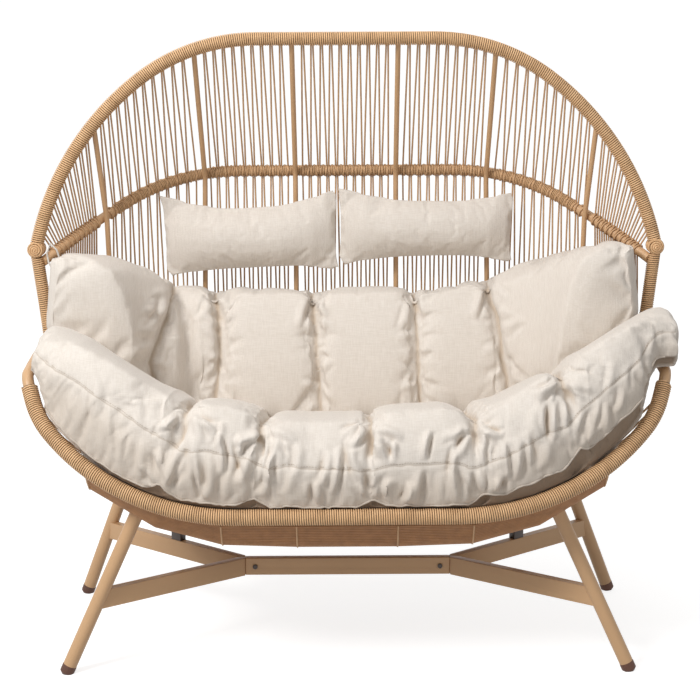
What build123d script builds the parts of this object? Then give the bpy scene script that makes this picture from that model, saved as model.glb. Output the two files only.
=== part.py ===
from build123d import *
import os
from math import acos, asin, cos, degrees, radians, sin, sqrt, tan

os.makedirs("parts", exist_ok=True)

# A two-seat garden loveseat. A leaning back hoop and a bowl-shaped seat frame are bent from
# round steel tube wound with rope. Six ribs run from the back hoop down the back, under the seat
# and up to the front rim, and rope is laced between the tubes. Four splayed legs with Y-shaped
# braces carry the seat, and a seat cushion, a back cushion and two head pillows lie in it.
# Millimetres. +Z is up, the front faces -Y, and the origin is on the floor under the middle.

# Back hoop, a flat-topped arch that leans back a little
arch_wound_diameter = 32.0
arch_top_y = 158.6
arch_top_z = 1335.0
arch_flat_half = 200.0
arch_corner_radius = 435.0
arch_corner_turn = 37.3
arch_side_radius = 640.0
arch_side_turn = 39.7
arch_foot_radius = 200.0
arch_foot_turn = 4.5

# Knuckles, the wound joints between the back hoop and the side tubes
knuckle_y = 108.6
knuckle_z = 868.0
knuckle_diameter = 38.0
knuckle_length = 46.0
knuckle_edge = 7.0

# Mid ring, the bar round the back
ring_wound_diameter = 22.0
ring_back_y = 378.6
ring_back_z = 1017.0
ring_end_z = 842.0
ring_flat_half = 247.0
ring_corner_radius = 366.0
ring_corner_turn = 46.2
ring_side_radius = 1950.0
ring_side_turn = 8.1

# Front rim, a U that rises from the seat front to the arm tips
rim_wound_diameter = 36.0
rim_front_y = -371.4
rim_front_z = 377.0
arm_tip_y = -211.2
arm_tip_z = 620.0
rim_flat_half = 227.6
rim_corner_radius = 515.6
rim_corner_turn = 50.8
rim_bend_radius = 200.0
rim_bend_turn = 21.8
rim_arm_radius = 1200.0
rim_arm_turn = 1.7

# Arm elbows, bare steel, and the rear rail that they lead into
elbow_diameter = 25.0
elbow_radius = 42.0
elbow_leg = 26.0
elbow_run_back = 40.0
rail_wound_diameter = 26.0
rail_back_y = 369.6
rail_back_z = 690.0
rail_corner_radius = 350.0

# Side tubes from the knuckles down to the rear rail
side_tube_diameter = 30.0

# Ribs, three each side
rib_diameter = 12.0
rib_back_x = (120.0, 340.0, 568.0)
rib_front_x = (105.0, 262.0, 545.0)
rib_ring_bend = 60.0
rib_rail_bend = 160.0
rib_floor_bend = 30.0
rib_front_bend = 40.0

# Seat floor: two cradle tubes shaped like the bowl, and the woven web under the ribs
cradle_diameter = 22.0
cradle_z = 322.0
cradle_front_y = -242.4
cradle_rear_y = 239.6
cradle_reach = 550.0
floor_flat_half = 180.0
floor_side_radius = 630.0
floor_front_setback = 50.0
floor_back_overhang = 26.0
web_rear_margin = 14.0

# Laced rope
rope_diameter = 6.0
rope_clearance = 0.3
strand_gap = 0.12
web_clearance = 0.6
web_rim_gap = 9.0
turns_per_bay = (10, 9, 10, 10)
arm_turns = 6
side_turns = 5
gap_at_rib = 14.0
gap_at_end = 34.0
side_lace_rear = 24.0
side_lace_middle = 56.4
side_lace_front = 30.0
side_lace_forward = 76.0
arm_lace_x = 600.0

# Legs, their foot caps, plates and studs
leg_diameter = 30.0
front_foot_x = 600.0
front_foot_y = -268.4
front_lean_in = 0.455
front_lean_back = 0.079
rear_foot_x = 630.0
rear_foot_y = 259.6
rear_lean_in = 0.376
rear_lean_forward = 0.059
foot_cap_diameter = 31.0
foot_cap_height = 18.0
foot_cap_edge = 6.0
plate_diameter = 50.0
plate_thickness = 4.0
stud_diameter = 8.0
stud_hole = 9.0

# Y braces and the beam between them
brace_height = 40.0
brace_width = 20.0
brace_z = 163.0
brace_y = -34.4
junction_x = 232.0
beam_screw_x = 209.0
screw_head_diameter = 11.0
screw_head_height = 4.0
screw_diameter = 6.0
screw_length = 14.0
support_x = 395.0
support_width = 30.0
support_depth = 18.0

# Seat cushion: a pad with a raised front roll and arm lobes, drawn in by five grooves. Each row of
# shares gives a place across the seat, then how far the roll and the back edge have risen there,
# and how far the back edge has come forward
seat_left_reach = 668.0
seat_right_reach = 712.0
seat_roll_z = 582.0
seat_left_rise = 160.0
seat_right_rise = 178.0
seat_roll_setback = 46.0
seat_roll_bulge = 14.0
seat_foot_setback = 76.0
seat_back_y = 241.6
seat_back_z = 445.0
seat_back_rise = 280.0
seat_back_forward = 210.0
seat_crown = 14.0
seat_groove_depth = 15.0
seat_groove_width = 30.0
seat_wall_gap = 22.0
seat_rim_shelf = 8.0
seat_rise_shares = (
    (0.0, 0.0, 0.0, 0.0),
    (0.27, 0.02, 0.02, 0.0),
    (0.47, 0.17, 0.1, 0.06),
    (0.6, 0.42, 0.22, 0.2),
    (0.68, 0.62, 0.36, 0.36),
    (0.76, 0.8, 0.52, 0.5),
    (0.85, 0.93, 0.75, 0.68),
    (0.93, 1.0, 0.93, 0.84),
    (0.98, 0.98, 1.0, 0.95),
    (1.0, 0.9, 1.0, 1.0),
)
seat_groove_shares = (-0.57, -0.285, 0.071, 0.413, 0.697)
seat_plain_shares = (-1.0, -0.98, -0.95, -0.915, -0.88, -0.84, -0.79, -0.73, -0.67)
seat_panel_shares = (-0.427, -0.107, 0.242, 0.555)
seat_end_shares = (0.76, 0.8, 0.84, 0.88, 0.915, 0.95, 0.98, 1.0)

# Back cushion: panels between channels, with wings that follow the shell round the corners. The
# flat part is placed by shares of its half width, and the wings by shares of their turn
back_thickness = 118.0
back_top_z = 752.0
back_right_rise = 116.0
back_right_start = 200.0
back_left_rise = 98.0
back_left_start = 310.0
back_wing_end = 640.0
back_roll_height = 18.0
back_foot_radius = 268.0
back_top_radius = 322.0
back_corner_radius = 306.0
back_wing_radius = 312.0
back_belly_radius = 318.0
back_corner_belly = 312.0
back_wing_belly = 332.0
back_belly_z = 735.0
back_wing_turn = 86.0
back_crown = 14.0
back_channel_depth = 30.0
back_channel_dip = 10.0
back_channel_width = 26.0
back_end_shrink = 24.0
back_foot_gap = 5.0
left_flat_shares = (-1.0, -0.867, -0.79, -0.53, -0.278, -0.202, -0.127)
right_flat_shares = (0.16, 0.387, 0.462, 0.538, 0.76, 0.907, 0.983)
wing_turn_shares = (0.1, 0.22, 0.4, 0.6, 0.8, 0.95, 1.0)
left_wing_shares = (0.06, 0.17, 0.29, 0.45, 0.65, 0.85, 0.95, 1.0)
left_channels = (-410.0, -300.0, -70.0)
right_channels = (160.0, 340.0)

# Head pillows: plump in the middle, with pinched ends. Each row of shares gives a place along
# the pillow, then the height and the thickness there
pillow_length = 400.0
pillow_height = 160.0
pillow_thickness = 92.0
pillow_right_x = 191.0
pillow_left_x = -229.0
pillow_middle_z = 884.0
pillow_corner_rise = 9.0
pillow_reach_back = 10.9
pillow_form_shares = (
    (0.0, 0.93, 0.07),
    (0.04, 0.97, 0.36),
    (0.14, 0.94, 0.72),
    (0.32, 0.9, 0.97),
    (0.5, 0.9, 1.0),
    (0.68, 0.9, 0.97),
    (0.86, 0.94, 0.72),
    (0.96, 0.97, 0.36),
    (1.0, 0.93, 0.07),
)
cushion_gap = 0.8

# Facets of the wound tubes, and the overrun of every cut
hoop_sides = 10
bar_sides = 8
rod_sides = 6
rope_sides = 4
roll_chords = 5
crown_chords = 4
pillow_chords = 6
overrun = 5.0

arch_radius = arch_wound_diameter / 2
ring_radius = ring_wound_diameter / 2
rim_radius = rim_wound_diameter / 2
rail_radius = rail_wound_diameter / 2
rib_radius = rib_diameter / 2
cradle_radius = cradle_diameter / 2
rope_radius = rope_diameter / 2
leg_radius = leg_diameter / 2
rib_drop = cradle_radius + rib_radius
web_drop = cradle_radius + rib_diameter + web_clearance
web_rear_y = cradle_rear_y + floor_back_overhang + web_rear_margin


def save(name, solids):
    """Writes one sub-part, which is a solid or a group of like solids."""
    if isinstance(solids, (list, tuple)):
        solids = Compound(children=[solid for item in solids for solid in item.solids()])
    solids.label = name
    export_step(solids, f"parts/{name}.step")


def other_side(shape):
    """The same shape on the left."""
    return shape.mirror(Plane.YZ)


def largest(shape):
    """The largest solid of a cut, so that no offcut is kept."""
    return max(shape.solids(), key=lambda solid: solid.volume)


def half_hoop(middle, toward_point, flat_half, bends, turn_sign):
    """The right half of a flat hoop, from its middle outwards, as a wire of a line and tangent
    arcs. The hoop's plane holds the X axis and the line from the middle to the point given."""
    up = Vector(0, *toward_point) - Vector(0, *middle)
    plane = Plane(origin=(0, *middle), x_dir=(1, 0, 0), z_dir=Vector(1, 0, 0).cross(up))
    edges = [Line((0, 0), (flat_half, 0))]
    for radius, turn in bends:
        edges.append(JernArc(edges[-1] @ 1, edges[-1] % 1, radius, turn_sign * turn))
    return Wire([plane.from_local_coords(edge) for edge in edges])


def whole_hoop(half):
    """Both halves of a hoop as one wire."""
    return Wire(list(half.edges()) + list(other_side(half).edges()))


def tube(path, diameter, sides):
    """A tube along a path, with a many-sided section."""
    start = Plane(origin=path @ 0, z_dir=path % 0)
    return sweep(start * RegularPolygon(diameter / 2, sides), path)


def rod(start, end, diameter, sides):
    """A straight many-sided rod between two points."""
    plane = Plane(origin=start, x_dir=(1, 0, 0), z_dir=end - start)
    return extrude(plane * RegularPolygon(diameter / 2, sides), (end - start).length)


def share_at_x(half, x):
    """How far along a half hoop it reaches a distance from the middle, from 0 to 1."""
    low, high = 0.0, 1.0
    for _ in range(40):
        middle = (low + high) / 2
        if (half @ middle).X < x:
            low = middle
        else:
            high = middle
    return low


def at_x(half, x):
    """The point of a half hoop at a distance from the middle."""
    return half @ share_at_x(half, x)


def beside(half, share, heading, distance):
    """A point inside a hoop, square to the hoop and to a rod that crosses it."""
    point = half @ share
    inward = (half % share).cross(heading).normalized()
    if inward.dot(Vector(0, 0, point.Z) - point) < 0:
        inward = -inward
    return point + inward * distance


def bend_corner(before, point, after, radius):
    """The corner whose rounded bend runs through a point."""
    one = (before - point).normalized()
    two = (after - point).normalized()
    half_angle = acos(one.dot(two)) / 2
    return point - (one + two).normalized() * (radius / sin(half_angle) - radius)


def floor_z(x, drop):
    """Height of the bowl's surface a distance below the cradle tubes' centre lines."""
    past = max(0, abs(x) - floor_flat_half)
    return cradle_z + floor_side_radius - sqrt((floor_side_radius + drop) ** 2 - past**2)


# The hoops of the frame
arch = half_hoop(
    (arch_top_y, arch_top_z),
    (2 * arch_top_y - knuckle_y, 2 * arch_top_z - knuckle_z),
    arch_flat_half,
    (
        (arch_corner_radius, arch_corner_turn),
        (arch_side_radius, arch_side_turn),
        (arch_foot_radius, arch_foot_turn),
    ),
    -1,
)
ring = half_hoop(
    (ring_back_y, ring_back_z),
    (2 * ring_back_y - knuckle_y, 2 * ring_back_z - ring_end_z),
    ring_flat_half,
    ((ring_corner_radius, ring_corner_turn), (ring_side_radius, ring_side_turn)),
    -1,
)
rim = half_hoop(
    (rim_front_y, rim_front_z),
    (arm_tip_y, arm_tip_z),
    rim_flat_half,
    (
        (rim_corner_radius, rim_corner_turn),
        (rim_bend_radius, rim_bend_turn),
        (rim_arm_radius, rim_arm_turn),
    ),
    1,
)
elbow_corner = rim @ 1 + (rim % 1) * elbow_leg
rail_rise = Vector(0, rail_back_y - elbow_corner.Y, rail_back_z - elbow_corner.Z)
elbow_end = elbow_corner + rail_rise.normalized() * (elbow_run_back + elbow_leg)


def half_rail():
    """The right half of the rear rail, from its middle to the elbow's end."""
    middle = Vector(0, rail_back_y, rail_back_z)
    plane = Plane(origin=middle, x_dir=(1, 0, 0), z_dir=Vector(1, 0, 0).cross(rail_rise))
    end = plane.to_local_coords(elbow_end)
    flat = Line((0, 0), (end.X - rail_corner_radius, 0))
    corner = JernArc(flat @ 1, flat % 1, rail_corner_radius, -90)
    side = Line(corner @ 1, (end.X, end.Y))
    return Wire([plane.from_local_coords(edge) for edge in (flat, corner, side)])


rail = half_rail()
knuckle_middle = Vector((arch @ 1).X, knuckle_y, knuckle_z)
side_foot = rail @ 1 + rail_rise * ((knuckle_y - (rail @ 1).Y) / rail_rise.Y)


def knuckle():
    """The right knuckle: a short wound drum with a bevelled front, on an axis along Y."""
    rear = Plane(origin=knuckle_middle + Vector(0, knuckle_length / 2, 0), z_dir=(0, -1, 0))
    drum = extrude(rear * RegularPolygon(knuckle_diameter / 2, 2 * bar_sides), knuckle_length)
    return chamfer(drum.faces().sort_by(Axis.Y)[0].edges(), knuckle_edge)


def rib_points(number):
    """The corners of one right rib's centre line, from the back hoop to the front rim."""
    x_back = rib_back_x[number]
    x_front = rib_front_x[number]
    top = at_x(arch, x_back)
    ring_share = share_at_x(ring, x_back)
    rail_share = share_at_x(rail, x_back)
    beside_rib = rib_radius + web_clearance
    at_ring = beside(ring, ring_share, ring @ ring_share - top, ring_radius + beside_rib)
    at_rail = beside(rail, rail_share, rail @ rail_share - at_ring, rail_radius + beside_rib)
    rim_point = at_x(rim, x_front)
    z_floor = floor_z(x_front, rib_drop)
    back = Vector(x_front, cradle_rear_y + floor_back_overhang, z_floor)
    front = Vector(x_front, rim_point.Y + floor_front_setback, z_floor)
    at_ring = bend_corner(top, at_ring, at_rail, rib_ring_bend)
    at_rail = bend_corner(at_ring, at_rail, back, rib_rail_bend)
    return [top, at_ring, at_rail, back, front, rim_point]


def rib(number, hoops):
    """One right rib, bent where it passes the ring, the rail and the seat floor, and cut off
    at the hoops that it is welded to."""
    bends = (rib_ring_bend, rib_rail_bend, rib_floor_bend, rib_front_bend)
    path = FilletPolyline(*rib_points(number), radius=bends)
    return largest(tube(path, rib_diameter, rod_sides) - hoops)


def cradle(y):
    """A cradle tube across the seat, flat in the middle and curved up at both sides."""
    turn = degrees(asin((cradle_reach - floor_flat_half) / floor_side_radius))
    flat = Line((0, 0), (floor_flat_half, 0))
    bend = JernArc(flat @ 1, flat % 1, floor_side_radius, turn)
    plane = Plane(origin=(0, y, cradle_z), x_dir=(1, 0, 0), z_dir=(0, -1, 0))
    half = Wire([plane.from_local_coords(edge) for edge in (flat, bend)])
    return tube(whole_hoop(half), cradle_diameter, bar_sides)


# The web's folds across the seat: at the ribs, and once between the outer two
web_folds = (
    rib_front_x[0],
    rib_front_x[1],
    (rib_front_x[1] + rib_front_x[2]) / 2,
    rib_front_x[2],
)


def web_facet(x):
    """The two folds that a place between them lies between."""
    inner = 0.0
    for fold in web_folds:
        if abs(x) <= fold:
            return inner, fold
        inner = fold
    return web_folds[-2], web_folds[-1]


def web_z(x, drop):
    """Height of the web's flat facets a distance below the cradle tubes' centre lines."""
    inner, outer = web_facet(x)
    low = floor_z(inner, drop)
    return low + (floor_z(outer, drop) - low) * (abs(x) - inner) / (outer - inner)


def web_up(x, drop):
    """The upward direction square to the web's facet on the right."""
    inner, outer = web_facet(x)
    rise = floor_z(outer, drop) - floor_z(inner, drop)
    return Vector(-rise, 0, outer - inner).normalized()


def web_profile(x):
    """The web's section along a fold: a thin strip under the floor and up to the rim."""
    share = share_at_x(rim, x)
    rim_point = rim @ share
    floor_start = Vector(x, web_rear_y, floor_z(x, rib_drop))
    corner = Vector(x, rim_point.Y + floor_front_setback, floor_start.Z)
    rise = (rim_point - corner).normalized()
    along = rise.dot(rim % share)
    rim_end = rim_point - rise * (rim_radius / sqrt(1 - along**2) + web_rim_gap)
    bend = FilletPolyline(floor_start, corner, rim_end, radius=rib_front_bend).edges()[1]
    half_turn = acos((bend % 0).dot(bend % 1)) / 4
    upper, lower = [], []
    for line, below in ((upper, rib_radius + web_clearance), (lower, rib_radius + web_clearance + rope_diameter)):
        reach = (rib_front_bend + below) * tan(half_turn)
        for point, heading, ahead in (
            (floor_start, bend % 0, 0.0),
            (bend @ 0, bend % 0, reach),
            (bend @ 1, bend % 1, -reach),
            (rim_end, bend % 1, 0.0),
        ):
            outward = Vector(0, -heading.Z, heading.Y)
            line.append(point + heading * ahead + outward * below)
    return Polyline(*upper, *reversed(lower), close=True)


def seat_web(drills):
    """The woven seat web, one strip folded at the ribs, with a hole for each leg stud."""
    right = [Wire(web_profile(x).edges()) for x in web_folds]
    left = [other_side(wire) for wire in reversed(right)]
    return Solid.make_loft(left + right, True) - drills


def strand_end(radius, heading, tangent):
    """How far along a strand its end stays from a tube's centre line, clear of its surface."""
    along = abs(heading.dot(tangent))
    return (radius + rope_radius * along + strand_gap) / sqrt(1 - along**2)


def paired(half, share, heading, sign):
    """A place on a hoop for one of the two runs of rope that share a turn there."""
    tangent = half % share
    along = tangent.dot(heading.normalized())
    return half @ share + tangent * (sign * (rope_radius + rope_clearance) / sqrt(1 - along**2))


def strand(points):
    """A run of rope through two or three points."""
    sections = []
    for index, point in enumerate(points):
        before = points[max(index - 1, 0)]
        after = points[min(index + 1, len(points) - 1)]
        plane = Plane(origin=point, x_dir=(1, 0, 0), z_dir=after - before)
        sections.append(plane * RegularPolygon(rope_radius, rope_sides))
    return loft(sections, ruled=True)


def spread(low, high, count, half_step):
    """Evenly spaced values, at the steps or half way between them."""
    if half_step:
        return [low + (high - low) * (step + 1 / 2) / count for step in range(count)]
    return [low + (high - low) * step / count for step in range(count + 1)]


def bay_ends(half, low_x, high_x):
    """The shares of a hoop between which one bay is laced, clear of the ribs and the end."""
    low = share_at_x(half, low_x) + gap_at_rib / half.length if low_x else 0.0
    if high_x:
        return low, share_at_x(half, high_x) - gap_at_rib / half.length
    if half is rail:
        return low, 1.0 - (knuckle_y + gap_at_end - elbow_end.Y) / half.length
    return low, 1.0 - gap_at_end / half.length


def zigzag(upper, upper_shares, lower, lower_shares):
    """The runs between two hoops: each turn on the upper one serves two on the lower one."""
    runs = []
    for index, top_share in enumerate(upper_shares):
        for sign, bottom_share in ((-1, lower_shares[index]), (1, lower_shares[index + 1])):
            heading = lower @ bottom_share - upper @ top_share
            top = paired(upper, top_share, heading, sign)
            bottom = paired(lower, bottom_share, heading, -sign)
            runs.append((top, bottom, top_share, bottom_share, sign))
    return runs


def upper_cords(low_x, high_x, turns):
    """The rope laced between the back hoop and the mid ring in one bay on the right."""
    tops = spread(*bay_ends(arch, low_x, high_x), turns, True)
    bottoms = spread(*bay_ends(ring, low_x, high_x), turns, False)
    strands = []
    for top, bottom, top_share, bottom_share, _ in zigzag(arch, tops, ring, bottoms):
        heading = (bottom - top).normalized()
        start = top + heading * strand_end(arch_radius, heading, arch % top_share)
        end = bottom - heading * strand_end(ring_radius, heading, ring % bottom_share)
        strands.append(strand([start, end]))
    return strands


def round_rail(before, share, sign, after):
    """Where a run bends over the outer side of the rear rail."""
    tangent = rail % share
    middle = paired(rail, share, after - before, sign)
    into = middle - before
    out_of = after - middle
    into = (into - tangent * into.dot(tangent)).normalized()
    out_of = (out_of - tangent * out_of.dot(tangent)).normalized()
    outward = (into - out_of).normalized()
    half_turn = acos(min(1.0, into.dot(out_of))) / 2
    return middle + outward * ((rail_radius + rope_radius + rope_clearance) / cos(half_turn))


def web_seat(x, from_point):
    """The end of a run that comes down onto the web's rear edge."""
    height = max(web_z(x + step, web_drop) for step in (-rope_diameter, 0, rope_diameter))
    foot = Vector(x, web_rear_y - rope_diameter, height)
    heading = (foot - from_point).normalized()
    level = sqrt(1 - heading.Z**2)
    return foot + heading * ((rope_radius * level + rope_clearance) / heading.Z)


def rib_seat(y, from_point):
    """The end of a run that comes down onto the outer rib beside the seat."""
    foot = Vector(rib_front_x[2], y, floor_z(rib_front_x[2], rib_drop))
    heading = (foot - from_point).normalized()
    return foot - heading * strand_end(rib_radius, heading, Vector(0, 1, 0))


def lower_cords(low_x, high_x, turns, foot_low, foot_high):
    """The rope of one bay on the right, from the mid ring over the rear rail to its foot. The
    outer bay's foot is the outer rib, where places are given along Y."""
    tops = spread(*bay_ends(ring, low_x, high_x), turns, False)
    rails = spread(*bay_ends(rail, low_x, high_x), turns, True)
    feet = spread(foot_low, foot_high, turns, True)
    strands = []
    for lower, upper, rail_share, ring_share, sign in zigzag(rail, rails, ring, tops):
        place = feet[rails.index(rail_share)]
        shift = sign * (rope_radius + rope_clearance)
        if high_x:
            foot = web_seat(place + shift, rail @ rail_share)
        else:
            foot = rib_seat(place - shift, rail @ rail_share)
        bend = round_rail(upper, rail_share, sign, foot)
        if high_x:
            foot = web_seat(place + shift, bend)
        else:
            foot = rib_seat(place - shift, bend)
        heading = (bend - upper).normalized()
        start = upper + heading * strand_end(ring_radius, heading, ring % ring_share)
        strands.append(strand([start, bend, foot]))
    return strands


def side_cords(hoop, tops, radius, places):
    """The rope between one of the side hoops and the outer rib, with places along Y."""
    strands = []
    for index, share in enumerate(tops):
        for sign, place in ((-1, places[index]), (1, places[index + 1])):
            foot = Vector(rib_front_x[2], place, floor_z(rib_front_x[2], rib_drop))
            top = paired(hoop, share, foot - hoop @ share, sign)
            foot = rib_seat(place - sign * (rope_radius + rope_clearance), top)
            heading = (foot - top).normalized()
            start = top + heading * strand_end(radius, heading, hoop % share)
            strands.append(strand([start, foot]))
    return strands


def arm_cords():
    """The rope in front of the right side tube: from the rail's side and from the rim's arm."""
    rail_high = 1.0 - gap_at_rib / rail.length
    rail_low = 1.0 - (knuckle_y - gap_at_end - elbow_end.Y) / rail.length
    rails = spread(rail_low, rail_high, side_turns, True)
    middle = knuckle_y - side_lace_forward
    behind = spread(middle, -side_lace_middle, side_turns, False)
    arms = spread(1.0 - gap_at_rib / rim.length, share_at_x(rim, arm_lace_x), arm_turns, True)
    foremost = cradle_front_y + side_lace_front
    before = spread(-side_lace_middle - gap_at_rib, foremost, arm_turns, False)
    arm_runs = side_cords(rim, arms, rim_radius, before)
    return side_cords(rail, rails, rail_radius, behind) + arm_runs


# Legs: each leans in from its foot to a plate under the web
front_base = Vector(front_foot_x, front_foot_y, foot_cap_height)
front_up = Vector(-front_lean_in, front_lean_back, 1).normalized()
rear_base = Vector(rear_foot_x, rear_foot_y, foot_cap_height)
rear_up = Vector(-rear_lean_in, -rear_lean_forward, 1).normalized()
right_legs = ((front_base, front_up), (rear_base, rear_up))


def web_plane(x, below):
    """The plane of the web's facet at a place on the right, moved down by a distance."""
    up = web_up(x, web_drop + rope_diameter)
    inner = web_facet(x)[0]
    point = Vector(inner, 0, floor_z(inner, web_drop + rope_diameter))
    return Plane(origin=point - up * below, x_dir=(0, 1, 0), z_dir=up)


def meeting(base, up, plane):
    """Where a leg's axis crosses a plane."""
    reach = (plane.origin - base).dot(plane.z_dir) / up.dot(plane.z_dir)
    return base + up * reach


def leg_round(base, up, diameter, start, length):
    """A round bar on a leg's axis, from a distance along it."""
    return extrude(Plane(origin=base + up * start, z_dir=up) * Circle(diameter / 2), length)


plate_x = (rib_front_x[2] + web_folds[2]) / 2
plate_top = web_plane(plate_x, rope_clearance)
leg_top = web_plane(plate_x, rope_clearance + plate_thickness)


def leg(base, up):
    """One right leg, cut off flat under its plate."""
    length = (meeting(base, up, leg_top) - base).length + leg_diameter
    return split(leg_round(base, up, leg_diameter, 0, length), leg_top, keep=Keep.BOTTOM)


def foot_cap(base, up):
    """The bevelled cap on the foot of one right leg, flat where it stands on the floor."""
    length = foot_cap_height / up.Z + foot_cap_edge / 2
    cap = rod(base, base - up * length, foot_cap_diameter, 2 * bar_sides)
    cap = chamfer(cap.faces().sort_by(Axis.Z)[0].edges(), foot_cap_edge)
    return split(cap, Plane.XY, keep=Keep.TOP)


def stud_way(base, up, diameter):
    """A many-sided bar on a leg's axis, from the leg's top past the cradle tube."""
    start = base + up * ((meeting(base, up, leg_top) - base).length - overrun)
    return rod(start, start + up * (2 * (overrun + web_drop)), diameter, bar_sides)


def leg_plate(base, up):
    """The round plate on top of one right leg, drilled for the stud."""
    centre = meeting(base, up, plate_top)
    under = centre - plate_top.z_dir * plate_thickness
    return rod(centre, under, plate_diameter, 2 * bar_sides) - stud_way(base, up, stud_hole)


def leg_stud(base, up, cradle_tube):
    """The stud through one plate and the web, up to the cradle tube."""
    long_stud = split(stud_way(base, up, stud_diameter), leg_top, keep=Keep.TOP)
    below = long_stud - cradle_tube
    return min(below.solids(), key=lambda solid: solid.center().Z)


def at_height(base, up, z):
    """A leg's axis at a height."""
    return base + up * ((z - base.Z) / up.Z)


def brace_arm(base, up, keep):
    """One right arm of the Y brace, mitred at the junction and cut round its leg."""
    bottom = Vector(junction_x, brace_y, brace_z - brace_height / 2)
    end = at_height(base, up, brace_z) - Vector(0, 0, brace_height / 2)
    along = (end - bottom).normalized()
    middle = bottom + (end - bottom) / 2
    length = (end - bottom).length
    plane = Plane(origin=middle, x_dir=along, z_dir=(0, 0, 1))
    arm = extrude(plane * Rectangle(length + 2 * brace_width, brace_width), brace_height)
    arm = split(arm, Plane(origin=bottom, z_dir=(1, 0, 0)), keep=Keep.TOP)
    arm = split(arm, Plane(origin=bottom, z_dir=(0, 1, 0)), keep=keep)
    return largest(arm - leg_round(base, up, leg_diameter, 0, (end - base).length + 2 * brace_height))


def beam_screw(face):
    """A round-headed screw at a place on the front face of the beam."""
    head = rod(face, face - Vector(0, screw_head_height, 0), screw_head_diameter, 2 * bar_sides)
    return head + rod(face, face + Vector(0, screw_length, 0), screw_diameter, bar_sides)


def support_block():
    """The block that stands on the right rear arm and carries the seat."""
    start = Vector(junction_x, brace_y, brace_z)
    end = at_height(rear_base, rear_up, brace_z)
    along = (end - start).normalized()
    top = brace_z + brace_height / 2
    foot = start + along * ((support_x - junction_x) / along.X)
    plane = Plane(origin=(foot.X, foot.Y, top), x_dir=along, z_dir=(0, 0, 1))
    block = extrude(plane * Rectangle(support_width, support_depth), cradle_z)
    return split(block, web_plane(support_x - support_width, rope_clearance), keep=Keep.BOTTOM)


tubes = {
    "back_hoop": tube(whole_hoop(arch), arch_wound_diameter, hoop_sides),
    "mid_ring": tube(whole_hoop(ring), ring_wound_diameter, bar_sides),
    "front_rim": tube(whole_hoop(rim), rim_wound_diameter, hoop_sides),
    "rear_rail": tube(whole_hoop(rail), rail_wound_diameter, bar_sides),
}
drum = knuckle()
side_tube = rod(knuckle_middle, side_foot, side_tube_diameter, hoop_sides)
side_tube = largest(side_tube - drum - tubes["rear_rail"])
elbow_path = FilletPolyline(rim @ 1, elbow_corner, elbow_end, radius=elbow_radius)
elbow = tube(elbow_path, elbow_diameter, hoop_sides)
save("arm_elbows", [elbow, other_side(elbow)])
front_cradle = cradle(cradle_front_y)
rear_cradle = cradle(cradle_rear_y)
drums = [drum, other_side(drum)]
tubes["back_hoop"] = largest(tubes["back_hoop"] - drums)
tubes["mid_ring"] = largest(tubes["mid_ring"] - [side_tube, other_side(side_tube)] - drums)
for name, solid in tubes.items():
    save(name, solid)
save("front_cradle_tube", front_cradle)
save("rear_cradle_tube", rear_cradle)

bays = tuple(zip((0.0,) + rib_back_x, rib_back_x + (None,)))
feet = (
    (0.0, rib_front_x[0] - gap_at_rib),
    (rib_front_x[0] + gap_at_rib, rib_front_x[1] - gap_at_rib),
    (rib_front_x[1] + gap_at_rib, rib_front_x[2] - gap_at_rib),
    (cradle_rear_y - side_lace_rear, knuckle_y - side_lace_forward + gap_at_rib),
)
for number, (low, high) in enumerate(bays):
    count = turns_per_bay[number] // 2 if number == 0 else turns_per_bay[number]
    foot_low, foot_high = feet[number]
    upper = upper_cords(low, high, count)
    lower = lower_cords(low, high, count, foot_low, foot_high)
    if number == 0:
        save("back_cord_middle", upper + [other_side(run) for run in upper])
        save("basket_cord_middle", lower + [other_side(run) for run in lower])
    else:
        save(f"back_cord_right_{number}", upper)
        save(f"back_cord_left_{number}", [other_side(run) for run in upper])
        save(f"basket_cord_right_{number}", lower)
        save(f"basket_cord_left_{number}", [other_side(run) for run in lower])
arm_lacing = arm_cords()
save("arm_cord_right", arm_lacing)
save("arm_cord_left", [other_side(run) for run in arm_lacing])

drills = []
for base, up in right_legs:
    way = stud_way(base, up, stud_hole)
    drills += [way, other_side(way)]
save("seat_web", seat_web(drills))

hoops = [tubes["back_hoop"], tubes["front_rim"]]
ribs = [rib(number, hoops) for number in range(len(rib_back_x))]
right_pieces = {
    "knuckle": drum,
    "side_tube": side_tube,
    "rib_1": ribs[0],
    "rib_2": ribs[1],
    "rib_3": ribs[2],
    "front_leg": leg(front_base, front_up),
    "rear_leg": leg(rear_base, rear_up),
    "front_brace": brace_arm(front_base, front_up, Keep.BOTTOM),
    "rear_brace": brace_arm(rear_base, rear_up, Keep.TOP),
}
for name, solid in right_pieces.items():
    save(f"{name}_right", solid)
    save(f"{name}_left", other_side(solid))

caps = [foot_cap(base, up) for base, up in right_legs]
plates = [leg_plate(base, up) for base, up in right_legs]
studs = [
    leg_stud(front_base, front_up, front_cradle),
    leg_stud(rear_base, rear_up, rear_cradle),
]
groups = {
    "foot_caps": caps,
    "leg_plates": plates,
    "leg_studs": studs,
    "support_blocks": [support_block()],
}
for name, group in groups.items():
    save(name, group + [other_side(solid) for solid in group])

beam = Pos(0, brace_y, brace_z) * Box(2 * junction_x, brace_width, brace_height)
hole = screw_diameter + 2 * rope_clearance
screws = []
for x in (-beam_screw_x, beam_screw_x):
    face = Vector(x, brace_y - brace_width / 2, brace_z)
    beam = beam - rod(face, face + Vector(0, screw_length + rope_clearance, 0), hole, bar_sides)
    screws.append(beam_screw(face))
save("centre_beam", beam)
save("beam_screws", screws)


def soft_share(table, share, column):
    """A value of a table of shares at a place between its rows."""
    for before, after in zip(table, table[1:]):
        if share <= after[0]:
            part = (share - before[0]) / (after[0] - before[0])
            return before[column] + (after[column] - before[column]) * part
    return table[-1][column]


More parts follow.
